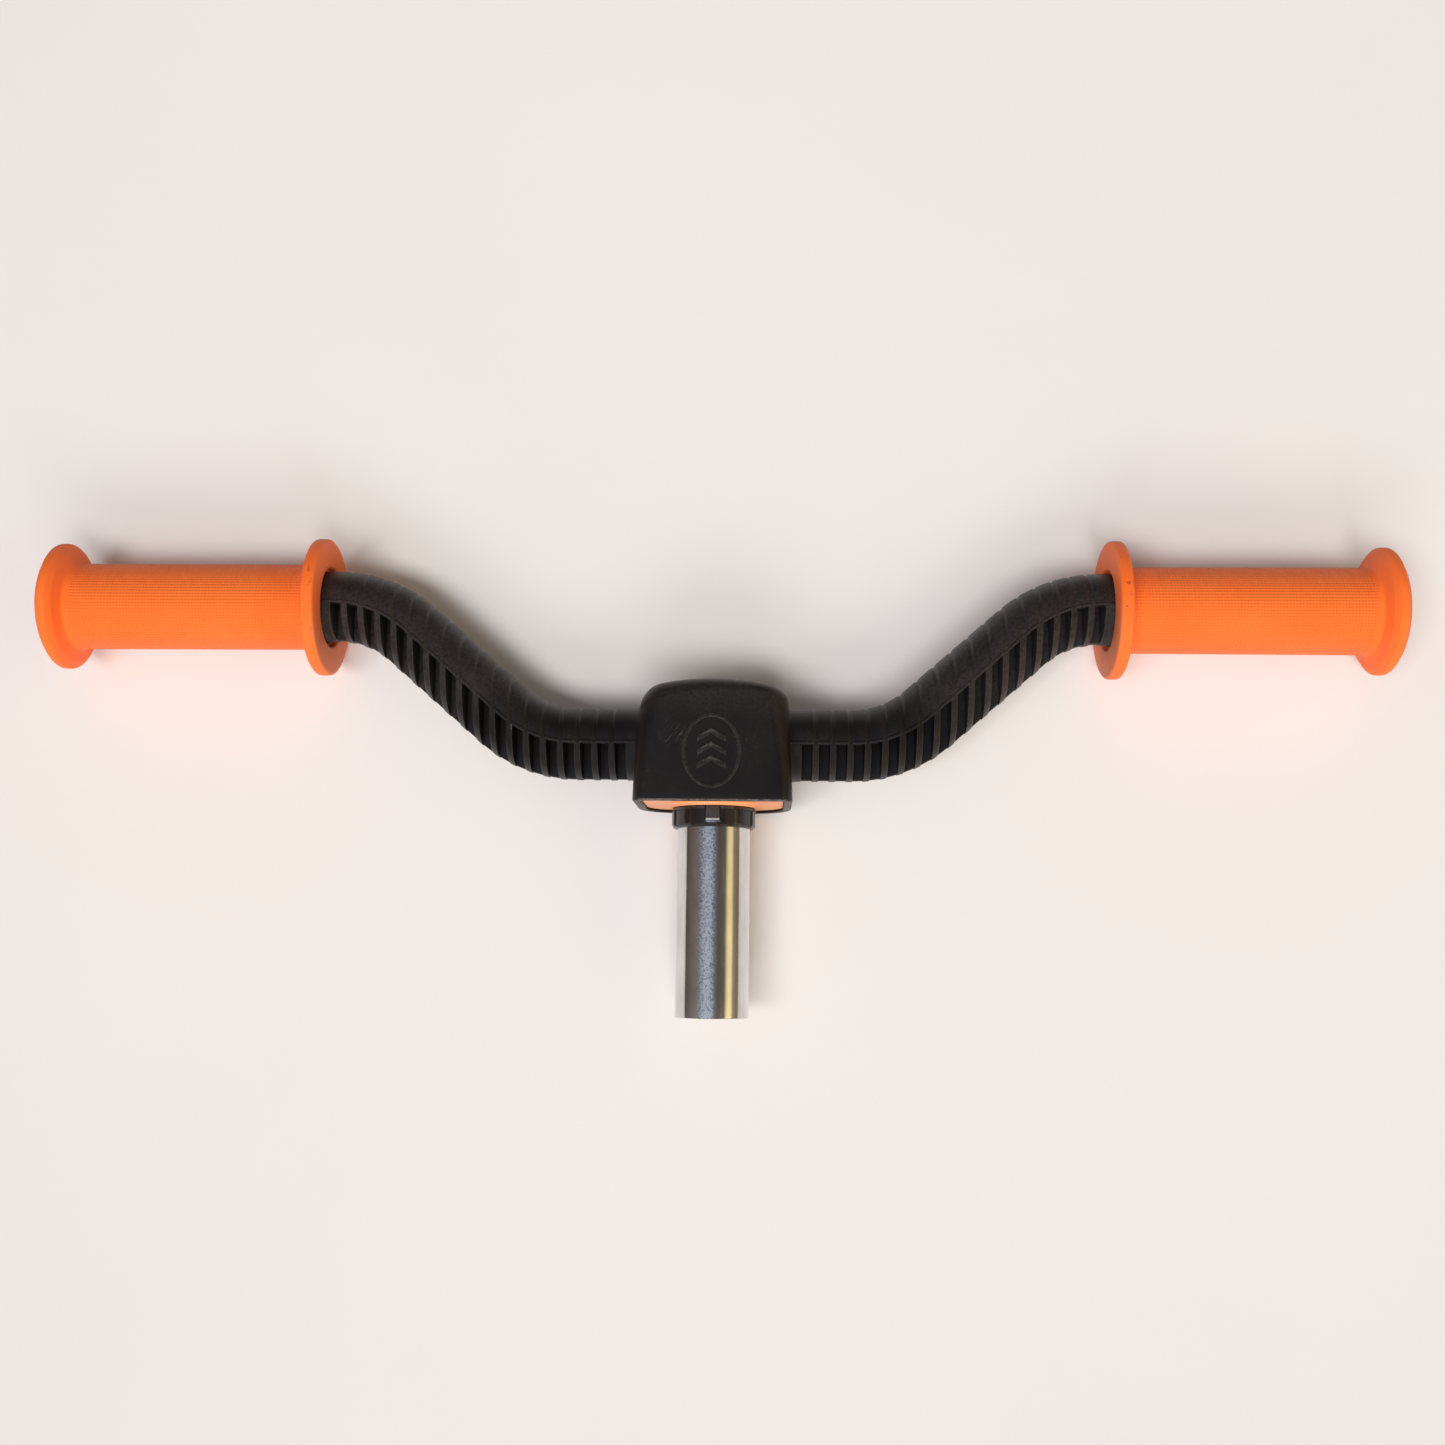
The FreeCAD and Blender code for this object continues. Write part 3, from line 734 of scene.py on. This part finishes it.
def lock_collar():
    """Ribbed twist collar with a window at its front for the tab."""
    window = math.asin(WINDOW_HALF / COLLAR_RADIUS)
    pitch = math.tau / RIBS
    angles = {window, math.tau - window}
    for rib in range(RIBS):
        for offset in (-6.9, -6.3, -5.7, -5.1, -2.5, 0, 2.5, 5.1, 5.7, 6.3, 6.9, 10, 14, 18):
            angles.add((rib * pitch + math.radians(offset)) % math.tau)
    outside = sorted(a for a in angles if window <= a <= math.tau - window)
    inside = sorted(a if a <= math.pi else a - math.tau for a in angles
                    if a <= window or a >= math.tau - window)
    build = Builder()
    for angles_here, windowed in ((outside, False), (inside, True)):
        build.grid([[collar_point(y, r, a) for y, r in collar_section(a, windowed)] for a in angles_here],
                   closed=True)
    base = len(collar_section(0, True))
    for angle in (window, -window):
        section = collar_section(angle, False)
        wall = [section[0]] + section[base - 1:]
        build.face([collar_point(y, r, angle) for y, r in wall])
    return build.piece("twist_collar", smooth=30)


TAB_INNER = 15.05


def release_tab():
    """Curved tab with rounded edges and one fine groove near its lower end."""
    half = TAB_HIGH.x
    low = TAB_LOW.y + 0.02
    high = TAB_HIGH.y
    inner = TAB_INNER
    outer = TAB_HIGH.z
    across = fillet([(-half, inner, 0.2), (half, inner, 0.2), (half, outer, 0.25), (-half, outer, 0.25)])
    across = subdivide(across, 0.8)
    middle = Vector((0, (inner + outer) / 2))
    rows = []
    for y, shrink in ((low, 0.3), (low + 0.08, 0.12), (low + 0.3, 0), (low + 1.2, 0), (low + 1.4, 0.1),
                      (low + 1.6, 0), (high - 0.3, 0), (high - 0.08, 0.12), (high, 0.3)):
        row = []
        for p in across:
            q = p + (middle - p).normalized() * shrink
            depth = q.y - (outer - math.sqrt(outer ** 2 - q.x ** 2))
            row.append((q.x, y, depth))
        rows.append(row)
    build = Builder()
    made = build.grid(rows, closed=True)
    build.faces.append(tuple(reversed(made[0])))
    build.faces.append(tuple(made[-1]))
    return build.piece("release_button", smooth=40)


def stem_tube():
    inner = STEM_RADIUS - STEM_WALL
    corners = [(STEM_LOW.y, inner, 0.3), (STEM_LOW.y, STEM_RADIUS, 0.35),
               (STEM_HIGH.y, STEM_RADIUS, 0.3), (STEM_HIGH.y, inner, 0.3)]
    outline = [(p.x, p.y) for p in subdivide(fillet(corners), 9)]
    return turned("chrome_stem", outline, 128, "Y", smooth=50)


# ---------------------------------------------------------------- materials

class Nodes:
    """Short way to write a material's node tree."""

    def __init__(self, name):
        self.material = bpy.data.materials.new(name)
        self.material.use_nodes = True
        self.tree = self.material.node_tree
        self.shader = self.tree.nodes["Principled BSDF"]
        self.place = self.add("ShaderNodeTexCoord").outputs["Object"]

    def add(self, kind, **settings):
        node = self.tree.nodes.new(kind)
        for key, value in settings.items():
            setattr(node, key, value)
        return node

    def link(self, source, socket):
        if isinstance(source, (int, float, tuple)):
            socket.default_value = source
        else:
            self.tree.links.new(source, socket)

    def math(self, operation, first, second=0.0, third=0.0):
        node = self.add("ShaderNodeMath", operation=operation)
        for socket, value in zip(node.inputs, (first, second, third)):
            self.link(value, socket)
        return node.outputs[0]

    def stretch(self, scale, turn=(0, 0, 0)):
        place = self.place
        for setting, value in (("Rotation", turn), ("Scale", scale)):
            node = self.add("ShaderNodeMapping")
            self.link(place, node.inputs["Vector"])
            self.link(tuple(value), node.inputs[setting])
            place = node.outputs[0]
        return place

    def noise(self, scale, detail=3.0, roughness=0.55, vector=None):
        node = self.add("ShaderNodeTexNoise")
        self.link(vector or self.place, node.inputs["Vector"])
        self.link(float(scale), node.inputs["Scale"])
        self.link(float(detail), node.inputs["Detail"])
        self.link(float(roughness), node.inputs["Roughness"])
        return node.outputs[0]

    def remap(self, value, low, high, out_low=0.0, out_high=1.0):
        node = self.add("ShaderNodeMapRange")
        for socket, number in zip(node.inputs, (value, low, high, out_low, out_high)):
            self.link(number, socket)
        return node.outputs[0]

    def mix(self, share, first, second):
        node = self.add("ShaderNodeMix", data_type="RGBA")
        self.link(share, node.inputs[0])
        self.link(colour(first), node.inputs[6])
        self.link(colour(second), node.inputs[7])
        return node.outputs[2]

    def axes(self):
        node = self.add("ShaderNodeSeparateXYZ")
        self.link(self.place, node.inputs[0])
        return node.outputs

    def distance(self, point):
        """Distance in millimetres from a point given in millimetres."""
        node = self.add("ShaderNodeVectorMath", operation="DISTANCE")
        self.link(self.place, node.inputs[0])
        self.link(tuple(value * MM for value in point), node.inputs[1])
        return self.math("DIVIDE", node.outputs["Value"], MM)

    def edges(self, low, high):
        """1 on convex edges, 0 on flats."""
        return self.remap(self.add("ShaderNodeNewGeometry").outputs["Pointiness"], low, high)

    def bump(self, height, distance, strength=1.0):
        node = self.add("ShaderNodeBump")
        self.link(height, node.inputs["Height"])
        self.link(float(distance), node.inputs["Distance"])
        self.link(float(strength), node.inputs["Strength"])
        before = self.shader.inputs["Normal"].links
        if before:
            self.link(before[0].from_socket, node.inputs["Normal"])
        self.link(node.outputs[0], self.shader.inputs["Normal"])

    def set(self, **values):
        for key, value in values.items():
            self.link(value, self.shader.inputs[key.replace("_", " ")])


def colour(value):
    """A plain colour gets its alpha; a socket stays as it is."""
    return (*value, 1.0) if isinstance(value, tuple) and len(value) == 3 else value


def black_plastic():
    """Satin black moulding: fine speckle, scuffs beside the emblem, edges lightened partly for wear and
    partly as painted highlight, a painted highlight along the lower front edge and a painted sheen on the
    crown.
    """
    n = Nodes("black_plastic")
    cloud = n.noise(60, 4)
    speckle = n.noise(2600, 2, 0.6)
    grain = n.noise(900, 3, 0.6)
    base = n.mix(n.remap(cloud, 0.35, 0.7), (0.0075, 0.0062, 0.0062), (0.0125, 0.0102, 0.0096))
    dust = n.math("MULTIPLY", n.remap(speckle, 0.62, 0.75), n.remap(cloud, 0.4, 0.65))
    base = n.mix(n.math("MULTIPLY", dust, 0.6), base, (0.14, 0.125, 0.115))
    lines = n.noise(1, 2, 0.5, n.stretch((190, 2400, 190), turn=(0, 0, math.radians(-52))))
    near = n.remap(n.distance((-14.5, 107, 25)), 2, 7, 1.0, 0.0)
    near_lines = n.math("MULTIPLY", n.remap(lines, 0.56, 0.66), near)
    scuff = n.math("MULTIPLY", near_lines, n.remap(grain, 0.4, 0.6))
    base = n.mix(n.math("MULTIPLY", scuff, 0.5), base, (0.16, 0.13, 0.11))
    # Convex edges lightened: partly wear, partly a painted highlight of edges catching the light.
    wear_and_edge_highlight = n.math("MULTIPLY", n.edges(0.53, 0.60), n.remap(grain, 0.3, 0.6))
    base = n.mix(n.math("MULTIPLY", wear_and_edge_highlight, 0.5), base, (0.15, 0.135, 0.125))
    _, y, z = n.axes()
    # Bright line along the lower front edge: a painted highlight of the edge catching light from below,
    # with some wear.
    low_edge = n.remap(y, (HUB_BOTTOM + 0.75) * MM, (HUB_BOTTOM + 0.35) * MM)
    lip_wear_and_painted_highlight = n.math("MULTIPLY", low_edge, n.remap(z, 0.0245, 0.0252))
    base = n.mix(n.math("MULTIPLY", lip_wear_and_painted_highlight, n.remap(grain, 0.3, 0.65)), base, (0.17, 0.155, 0.15))
    # Painted sheen: the crown is made lighter towards the top, where it reflects light from above.
    painted_crown_sheen = n.math("MULTIPLY", n.remap(y, 0.112, 0.128), n.remap(grain, 0.25, 0.7))
    base = n.mix(n.math("MULTIPLY", painted_crown_sheen, 0.35), base, (0.085, 0.072, 0.066))
    n.set(Base_Color=base, Roughness=n.remap(cloud, 0.3, 0.7, 0.36, 0.50), Specular_IOR_Level=0.34)
    n.bump(grain, 0.00008, 0.35)
    n.bump(speckle, 0.00004, 0.5)
    return n.material


def around_bar(n):
    """Angle about the grip's axis, in radians, and the place along the bar in metres."""
    x, y, z = n.axes()
    up = n.math("SUBTRACT", y, GRIP_LEVEL * MM)
    return x, n.math("ARCTAN2", up, z), up


def grip_rubber():
    """Orange rubber with a fine diamond pattern on the barrel and small dirt marks."""
    n = Nodes("grip_rubber")
    x, angle, up = around_bar(n)
    along = n.math("ABSOLUTE", x)
    pitch = 1.25 * MM
    count = round(math.tau * BARREL_RADIUS * MM / pitch / 2)
    lengthways = n.math("MULTIPLY", along, math.tau / (2 * pitch))
    roundways = n.math("MULTIPLY", angle, float(count))
    rising = n.math("SINE", n.math("ADD", lengthways, roundways))
    falling = n.math("SINE", n.math("SUBTRACT", lengthways, roundways))
    diamonds = n.math("MULTIPLY", rising, falling)
    barrel = n.math("MULTIPLY", n.remap(along, (GRIP_LOW.x + 6) * MM, (GRIP_LOW.x + 8) * MM),
                    n.remap(along, (GRIP_HIGH.x - 13) * MM, (GRIP_HIGH.x - 11) * MM, 1.0, 0.0))
    pattern = n.math("MULTIPLY", diamonds, barrel)
    cloud = n.noise(45, 4)
    grain = n.noise(1400, 2)
    base = n.mix(n.remap(cloud, 0.35, 0.7), (1.0, 0.165, 0.024), (1.0, 0.190, 0.034))
    base = n.mix(n.math("MULTIPLY", n.remap(pattern, 0.1, 0.9), 0.30), base, (1.0, 0.26, 0.060))
    face = n.remap(along, (GRIP_LOW.x + 0.3) * MM, (GRIP_LOW.x + 1.0) * MM, 1.0, 0.0)
    lower_face = n.math("MULTIPLY", face, n.remap(up, -0.002, -0.014))
    dusty = n.math("MULTIPLY", lower_face, n.remap(cloud, 0.3, 0.55))
    base = n.mix(n.math("MULTIPLY", dusty, 0.5), base, (0.72, 0.25, 0.13))
    base = rim_dirt(n, base, along)
    n.set(Base_Color=base, Roughness=n.remap(cloud, 0.3, 0.7, 0.50, 0.60), Specular_IOR_Level=0.28)
    n.set(Sheen_Weight=0.03, Sheen_Roughness=0.5)
    n.bump(pattern, 0.00022, 0.8)
    n.bump(grain, 0.00004, 0.3)
    return n.material


def rim_dirt(n, base, along):
    """Small dark nicks on the inner flanges' rims."""
    rim = n.math("MULTIPLY", n.remap(along, (GRIP_LOW.x + 0.4) * MM, (GRIP_LOW.x + 1.2) * MM),
                 n.remap(along, (GRIP_LOW.x + 4.6) * MM, (GRIP_LOW.x + 5.2) * MM, 1.0, 0.0))
    spots = n.noise(420, 3, 0.65, n.stretch((1, 0.6, 0.6)))
    front = n.remap(n.axes()[2], 0.018, 0.026)
    mark = n.math("MULTIPLY", n.math("MULTIPLY", n.remap(spots, 0.60, 0.68), rim), front)
    return n.mix(n.math("MULTIPLY", mark, 0.75), base, (0.22, 0.05, 0.02))


def insert_plastic():
    n = Nodes("insert_plastic")
    cloud = n.noise(70, 4)
    grain = n.noise(1200, 3)
    base = n.mix(n.remap(cloud, 0.35, 0.7), (1.0, 0.38, 0.17), (1.0, 0.44, 0.21))
    n.set(Base_Color=base, Roughness=n.remap(grain, 0.3, 0.7, 0.42, 0.55))
    n.bump(grain, 0.00005, 0.4)
    return n.material


def collar_plastic():
    """Glossy black plastic with fine scratches; rib edges greyed partly for wear and partly as painted
    highlight.
    """
    n = Nodes("collar_plastic")
    cloud = n.noise(120, 4)
    scratches = n.noise(1, 2, 0.5, n.stretch((900, 90, 900)))
    base = n.mix(n.remap(cloud, 0.4, 0.7), (0.008, 0.0065, 0.006), (0.016, 0.012, 0.010))
    # Rib edges greyed: partly wear, partly a painted highlight of the edges catching the light.
    wear_and_edge_highlight = n.math("MULTIPLY", n.edges(0.52, 0.58), n.remap(cloud, 0.3, 0.6))
    base = n.mix(n.math("MULTIPLY", wear_and_edge_highlight, 0.35), base, (0.13, 0.12, 0.12))
    n.set(Base_Color=base, Roughness=n.remap(scratches, 0.4, 0.7, 0.16, 0.34), Specular_IOR_Level=0.55)
    n.bump(scratches, 0.00003, 0.35)
    return n.material


def tab_plastic():
    """Dark grey matte tab whose lower edge is rubbed bright."""
    n = Nodes("tab_plastic")
    grain = n.noise(1500, 3)
    _, y, _ = n.axes()
    rubbed = n.remap(y, (TAB_LOW.y + 0.75) * MM, (TAB_LOW.y + 0.2) * MM)
    base = n.mix(n.remap(grain, 0.35, 0.7), (0.030, 0.028, 0.028), (0.055, 0.052, 0.050))
    base = n.mix(n.math("MULTIPLY", rubbed, n.remap(grain, 0.2, 0.5, 0.5, 1.0)), base, (0.55, 0.55, 0.55))
    n.set(Base_Color=base, Roughness=n.remap(grain, 0.3, 0.7, 0.45, 0.6))
    n.bump(grain, 0.00005, 0.5)
    return n.material


def stem_chrome():
    """Chrome rubbed by the collar: fine scratches along the stem and speckled pits; a front-left band of
    scuffs is tinted blue as a painted reflection, with painted bluish-white glints on its pits.
    """
    n = Nodes("stem_chrome")
    x, y, z = n.axes()
    long_scratches = n.noise(1, 3, 0.6, n.stretch((2200, 60, 2200)))
    smudge = n.noise(1, 4, 0.6, n.stretch((150, 40, 150)))
    pits = n.noise(1100, 4, 0.75)
    turn = n.math("ARCTAN2", x, z)
    # Band on the front-left of the stem: real scuffs and pits, and a painted reflection of a cool window
    # tinted into its colour.
    scuff_band_and_painted_reflection = n.math("MULTIPLY", n.remap(turn, -0.42, -0.26), n.remap(turn, 0.16, 0.02))
    scuffs_and_painted_glint = n.math("MULTIPLY", scuff_band_and_painted_reflection, n.remap(pits, 0.50, 0.56))
    film = n.remap(smudge, 0.35, 0.7)
    base = n.mix(film, (0.62, 0.61, 0.60), (0.80, 0.79, 0.78))
    # Painted reflection: bluish grey tint in the band, then painted bluish-white glints on its scuffs.
    base = n.mix(n.math("MULTIPLY", scuff_band_and_painted_reflection, n.remap(pits, 0.49, 0.43)), base, (0.34, 0.37, 0.46))
    base = n.mix(n.math("MULTIPLY", scuffs_and_painted_glint, 0.85), base, (0.90, 0.95, 1.0))
    rough = n.math("ADD", n.remap(film, 0.0, 1.0, 0.05, 0.12), n.math("MULTIPLY", scuffs_and_painted_glint, 0.35))
    rough = n.math("ADD", rough, n.math("MULTIPLY", n.remap(long_scratches, 0.58, 0.72), 0.18))
    n.set(Base_Color=base, Metallic=1.0, Roughness=rough)
    n.bump(long_scratches, 0.00002, 0.25)
    n.bump(n.math("MULTIPLY", pits, scuff_band_and_painted_reflection), 0.00009, 0.9)
    return n.material


def plain_steel():
    n = Nodes("plain_steel")
    turning = n.noise(1, 3, 0.6, n.stretch((400, 2400, 400)))
    cloud = n.noise(200, 3)
    base = n.mix(cloud, (0.42, 0.41, 0.40), (0.60, 0.59, 0.58))
    n.set(Base_Color=base, Metallic=1.0, Roughness=n.remap(turning, 0.3, 0.7, 0.25, 0.42))
    n.bump(turning, 0.00003, 0.4)
    return n.material


def nylon():
    n = Nodes("nylon")
    cloud = n.noise(160, 4)
    grain = n.noise(1300, 2)
    base = n.mix(cloud, (0.72, 0.70, 0.64), (0.82, 0.80, 0.75))
    n.set(Base_Color=base, Roughness=n.remap(grain, 0.3, 0.7, 0.38, 0.5), Subsurface_Weight=0.15)
    n.bump(grain, 0.00004, 0.4)
    return n.material


def black_rubber():
    n = Nodes("black_rubber")
    grain = n.noise(1600, 3)
    cloud = n.noise(120, 3)
    base = n.mix(cloud, (0.012, 0.012, 0.012), (0.03, 0.029, 0.028))
    n.set(Base_Color=base, Roughness=n.remap(grain, 0.3, 0.7, 0.65, 0.85))
    n.bump(grain, 0.00007, 0.6)
    return n.material


def table_top():
    """Pale, faintly mottled matte board."""
    n = Nodes("table_top")
    cloud = n.noise(5, 4)
    tooth = n.noise(700, 3)
    base = n.mix(n.remap(cloud, 0.3, 0.7), (0.815, 0.778, 0.757), (0.835, 0.800, 0.781))
    n.set(Base_Color=base, Roughness=0.62, Specular_IOR_Level=0.25)
    n.bump(tooth, 0.00006, 0.25)
    return n.material


# ---------------------------------------------------------------- scene

FINISHES = {
    "black_plastic": black_plastic(),
    "grip_rubber": grip_rubber(),
    "insert_plastic": insert_plastic(),
    "collar_plastic": collar_plastic(),
    "tab_plastic": tab_plastic(),
    "stem_chrome": stem_chrome(),
    "nylon": nylon(),
    "plain_steel": plain_steel(),
    "black_rubber": black_rubber(),
}


def finish_cad_nodes():
    """Every CAD node gets the procedural finish of the slot that it was packed with."""
    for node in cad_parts.values():
        slots = node.data.materials
        slots[0] = FINISHES[slots[0].name.split(".")[0]]


def fit(piece, body, slot, *nodes):
    """Gives a piece its finish and the body it rides on, and hides the CAD nodes it stands for."""
    piece.data.materials.append(FINISHES[slot])
    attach(piece, body)
    if nodes:
        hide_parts(*nodes)
    return piece


def build_pieces():
    fit(handlebar_moulding(), "handlebar", "black_plastic", "handlebar_moulding")
    fit(hub_emblem(), "handlebar", "black_plastic")
    fit(grip("grip_right", 1), "handlebar", "grip_rubber", "right_grip")
    fit(grip("grip_left", -1), "handlebar", "grip_rubber", "left_grip")
    fit(hub_insert(), "handlebar", "insert_plastic", "hub_insert")
    fit(lock_collar(), "collar", "collar_plastic", "lock_collar")
    fit(release_tab(), "tab", "tab_plastic", "release_tab")
    fit(stem_tube(), "stem", "stem_chrome", "stem_tube")


def table():
    """Large flat board under the object."""
    half = 2500
    level = GRIP_LOW.z
    build = Builder()
    steps = range(-10, 11)
    build.grid([[(half * a / 10, half * b / 10, level) for b in steps] for a in steps])
    board = build.piece("table_board")
    board.data.materials.append(table_top())


def area_light(name, place, target, size, power, tint):
    """Lamp facing the target, which lights near and far alike and leaves no highlight."""
    data = bpy.data.lights.new(name, "AREA")
    data.shape = "RECTANGLE"
    data.size, data.size_y = size
    data.energy = power
    data.color = tint
    lamp = bpy.data.objects.new(name, data)
    lamp.location = place
    lamp.rotation_euler = (Vector(target) - Vector(place)).to_track_quat("-Z", "Y").to_euler()
    bpy.context.scene.collection.objects.link(lamp)
    lamp.visible_glossy = False
    data.use_nodes = True
    falloff = data.node_tree.nodes.new("ShaderNodeLightFalloff")
    falloff.inputs["Strength"].default_value = 1.0
    emission = data.node_tree.nodes["Emission"]
    data.node_tree.links.new(falloff.outputs["Constant"], emission.inputs["Strength"])


def lights():
    area_light("key", Vector((-0.22, -0.42, 1.55)), (0.30, 0.95, 0), (1.15, 0.42), 7.3,
               (1.0, 0.995, 0.985))
    area_light("low", Vector((0.02, -0.85, 0.80)), (0.05, 0.80, 0), (0.7, 0.4), 2.5,
               (1.0, 0.985, 0.97))


# room round the table: angle from straight up towards +X in degrees, and colour
ROOM_BANDS = [
    (-180, (0.62, 0.58, 0.54)), (-104, (0.11, 0.085, 0.070)), (-84, (0.14, 0.110, 0.095)),
    (-48, (0.24, 0.205, 0.195)), (-38, (0.26, 0.260, 0.290)), (-24, (0.56, 0.600, 0.700)),
    (-4, (0.58, 0.610, 0.690)), (8, (0.24, 0.240, 0.260)), (20, (0.12, 0.105, 0.110)),
    (40, (0.19, 0.150, 0.110)), (50, (1.15, 0.930, 0.480)), (61, (1.30, 1.050, 0.520)),
    (70, (0.40, 0.320, 0.210)), (86, (0.25, 0.200, 0.150)), (96, (0.62, 0.540, 0.460)),
    (180, (0.62, 0.58, 0.54)),
]


def surroundings():
    """Room seen in the gloss: brown walls, a cool window overhead and a warm lamp on the right."""
    world = bpy.data.worlds.new("studio")
    bpy.context.scene.world = world
    world.use_nodes = True
    tree = world.node_tree
    place = tree.nodes.new("ShaderNodeTexCoord")
    split = tree.nodes.new("ShaderNodeSeparateXYZ")
    angle = tree.nodes.new("ShaderNodeMath")
    angle.operation = "ARCTAN2"
    share = tree.nodes.new("ShaderNodeMapRange")
    share.inputs["From Min"].default_value = -math.pi
    share.inputs["From Max"].default_value = math.pi
    ramp_node = tree.nodes.new("ShaderNodeValToRGB")
    stops = ramp_node.color_ramp.elements
    while len(stops) < len(ROOM_BANDS):
        stops.new(0.5)
    for stop, (degrees, tint) in zip(stops, ROOM_BANDS):
        stop.position = degrees / 360 + 0.5
        stop.color = (*tint, 1)
    tree.links.new(place.outputs["Generated"], split.inputs[0])
    tree.links.new(split.outputs["X"], angle.inputs[0])
    tree.links.new(split.outputs["Z"], angle.inputs[1])
    tree.links.new(angle.outputs[0], share.inputs["Value"])
    tree.links.new(share.outputs["Result"], ramp_node.inputs["Fac"])
    tree.links.new(ramp_node.outputs["Color"], tree.nodes["Background"].inputs["Color"])
    dimming = tree.nodes.new("ShaderNodeMapRange")
    for name, value in (("From Min", -0.2), ("From Max", 0.75), ("To Min", 1.15), ("To Max", 0.08)):
        dimming.inputs[name].default_value = value
    tree.links.new(split.outputs["Y"], dimming.inputs["Value"])
    tree.links.new(dimming.outputs["Result"], tree.nodes["Background"].inputs["Strength"])


LENS = 37.37
SENSOR = 36.0
AZIMUTH = math.radians(1.64)
ELEVATION = math.radians(-8.6)
ROLL = math.radians(0.60)
DISTANCE = 0.595
TARGET = Vector((0.0030, 0.11499, 0))


def camera():
    """Camera above the table, looking down on the object from slightly below the stem."""
    back = Vector((math.sin(AZIMUTH) * math.cos(ELEVATION), math.sin(ELEVATION),
                   math.cos(AZIMUTH) * math.cos(ELEVATION)))
    right = Vector((math.cos(AZIMUTH), 0, -math.sin(AZIMUTH)))
    up = back.cross(right)
    across = right * math.cos(ROLL) + up * math.sin(ROLL)
    upward = up * math.cos(ROLL) - right * math.sin(ROLL)
    data = bpy.data.cameras.new("camera")
    data.lens = LENS
    data.sensor_width = SENSOR
    data.clip_start = 0.01
    eye = bpy.data.objects.new("camera", data)
    eye.matrix_world = Matrix((across, upward, back)).transposed().to_4x4()
    eye.location = TARGET + back * DISTANCE
    bpy.context.scene.collection.objects.link(eye)
    bpy.context.scene.camera = eye


camera()
surroundings()
lights()
table()
finish_cad_nodes()
build_pieces()
bpy.context.scene.view_settings.view_transform = "Standard"
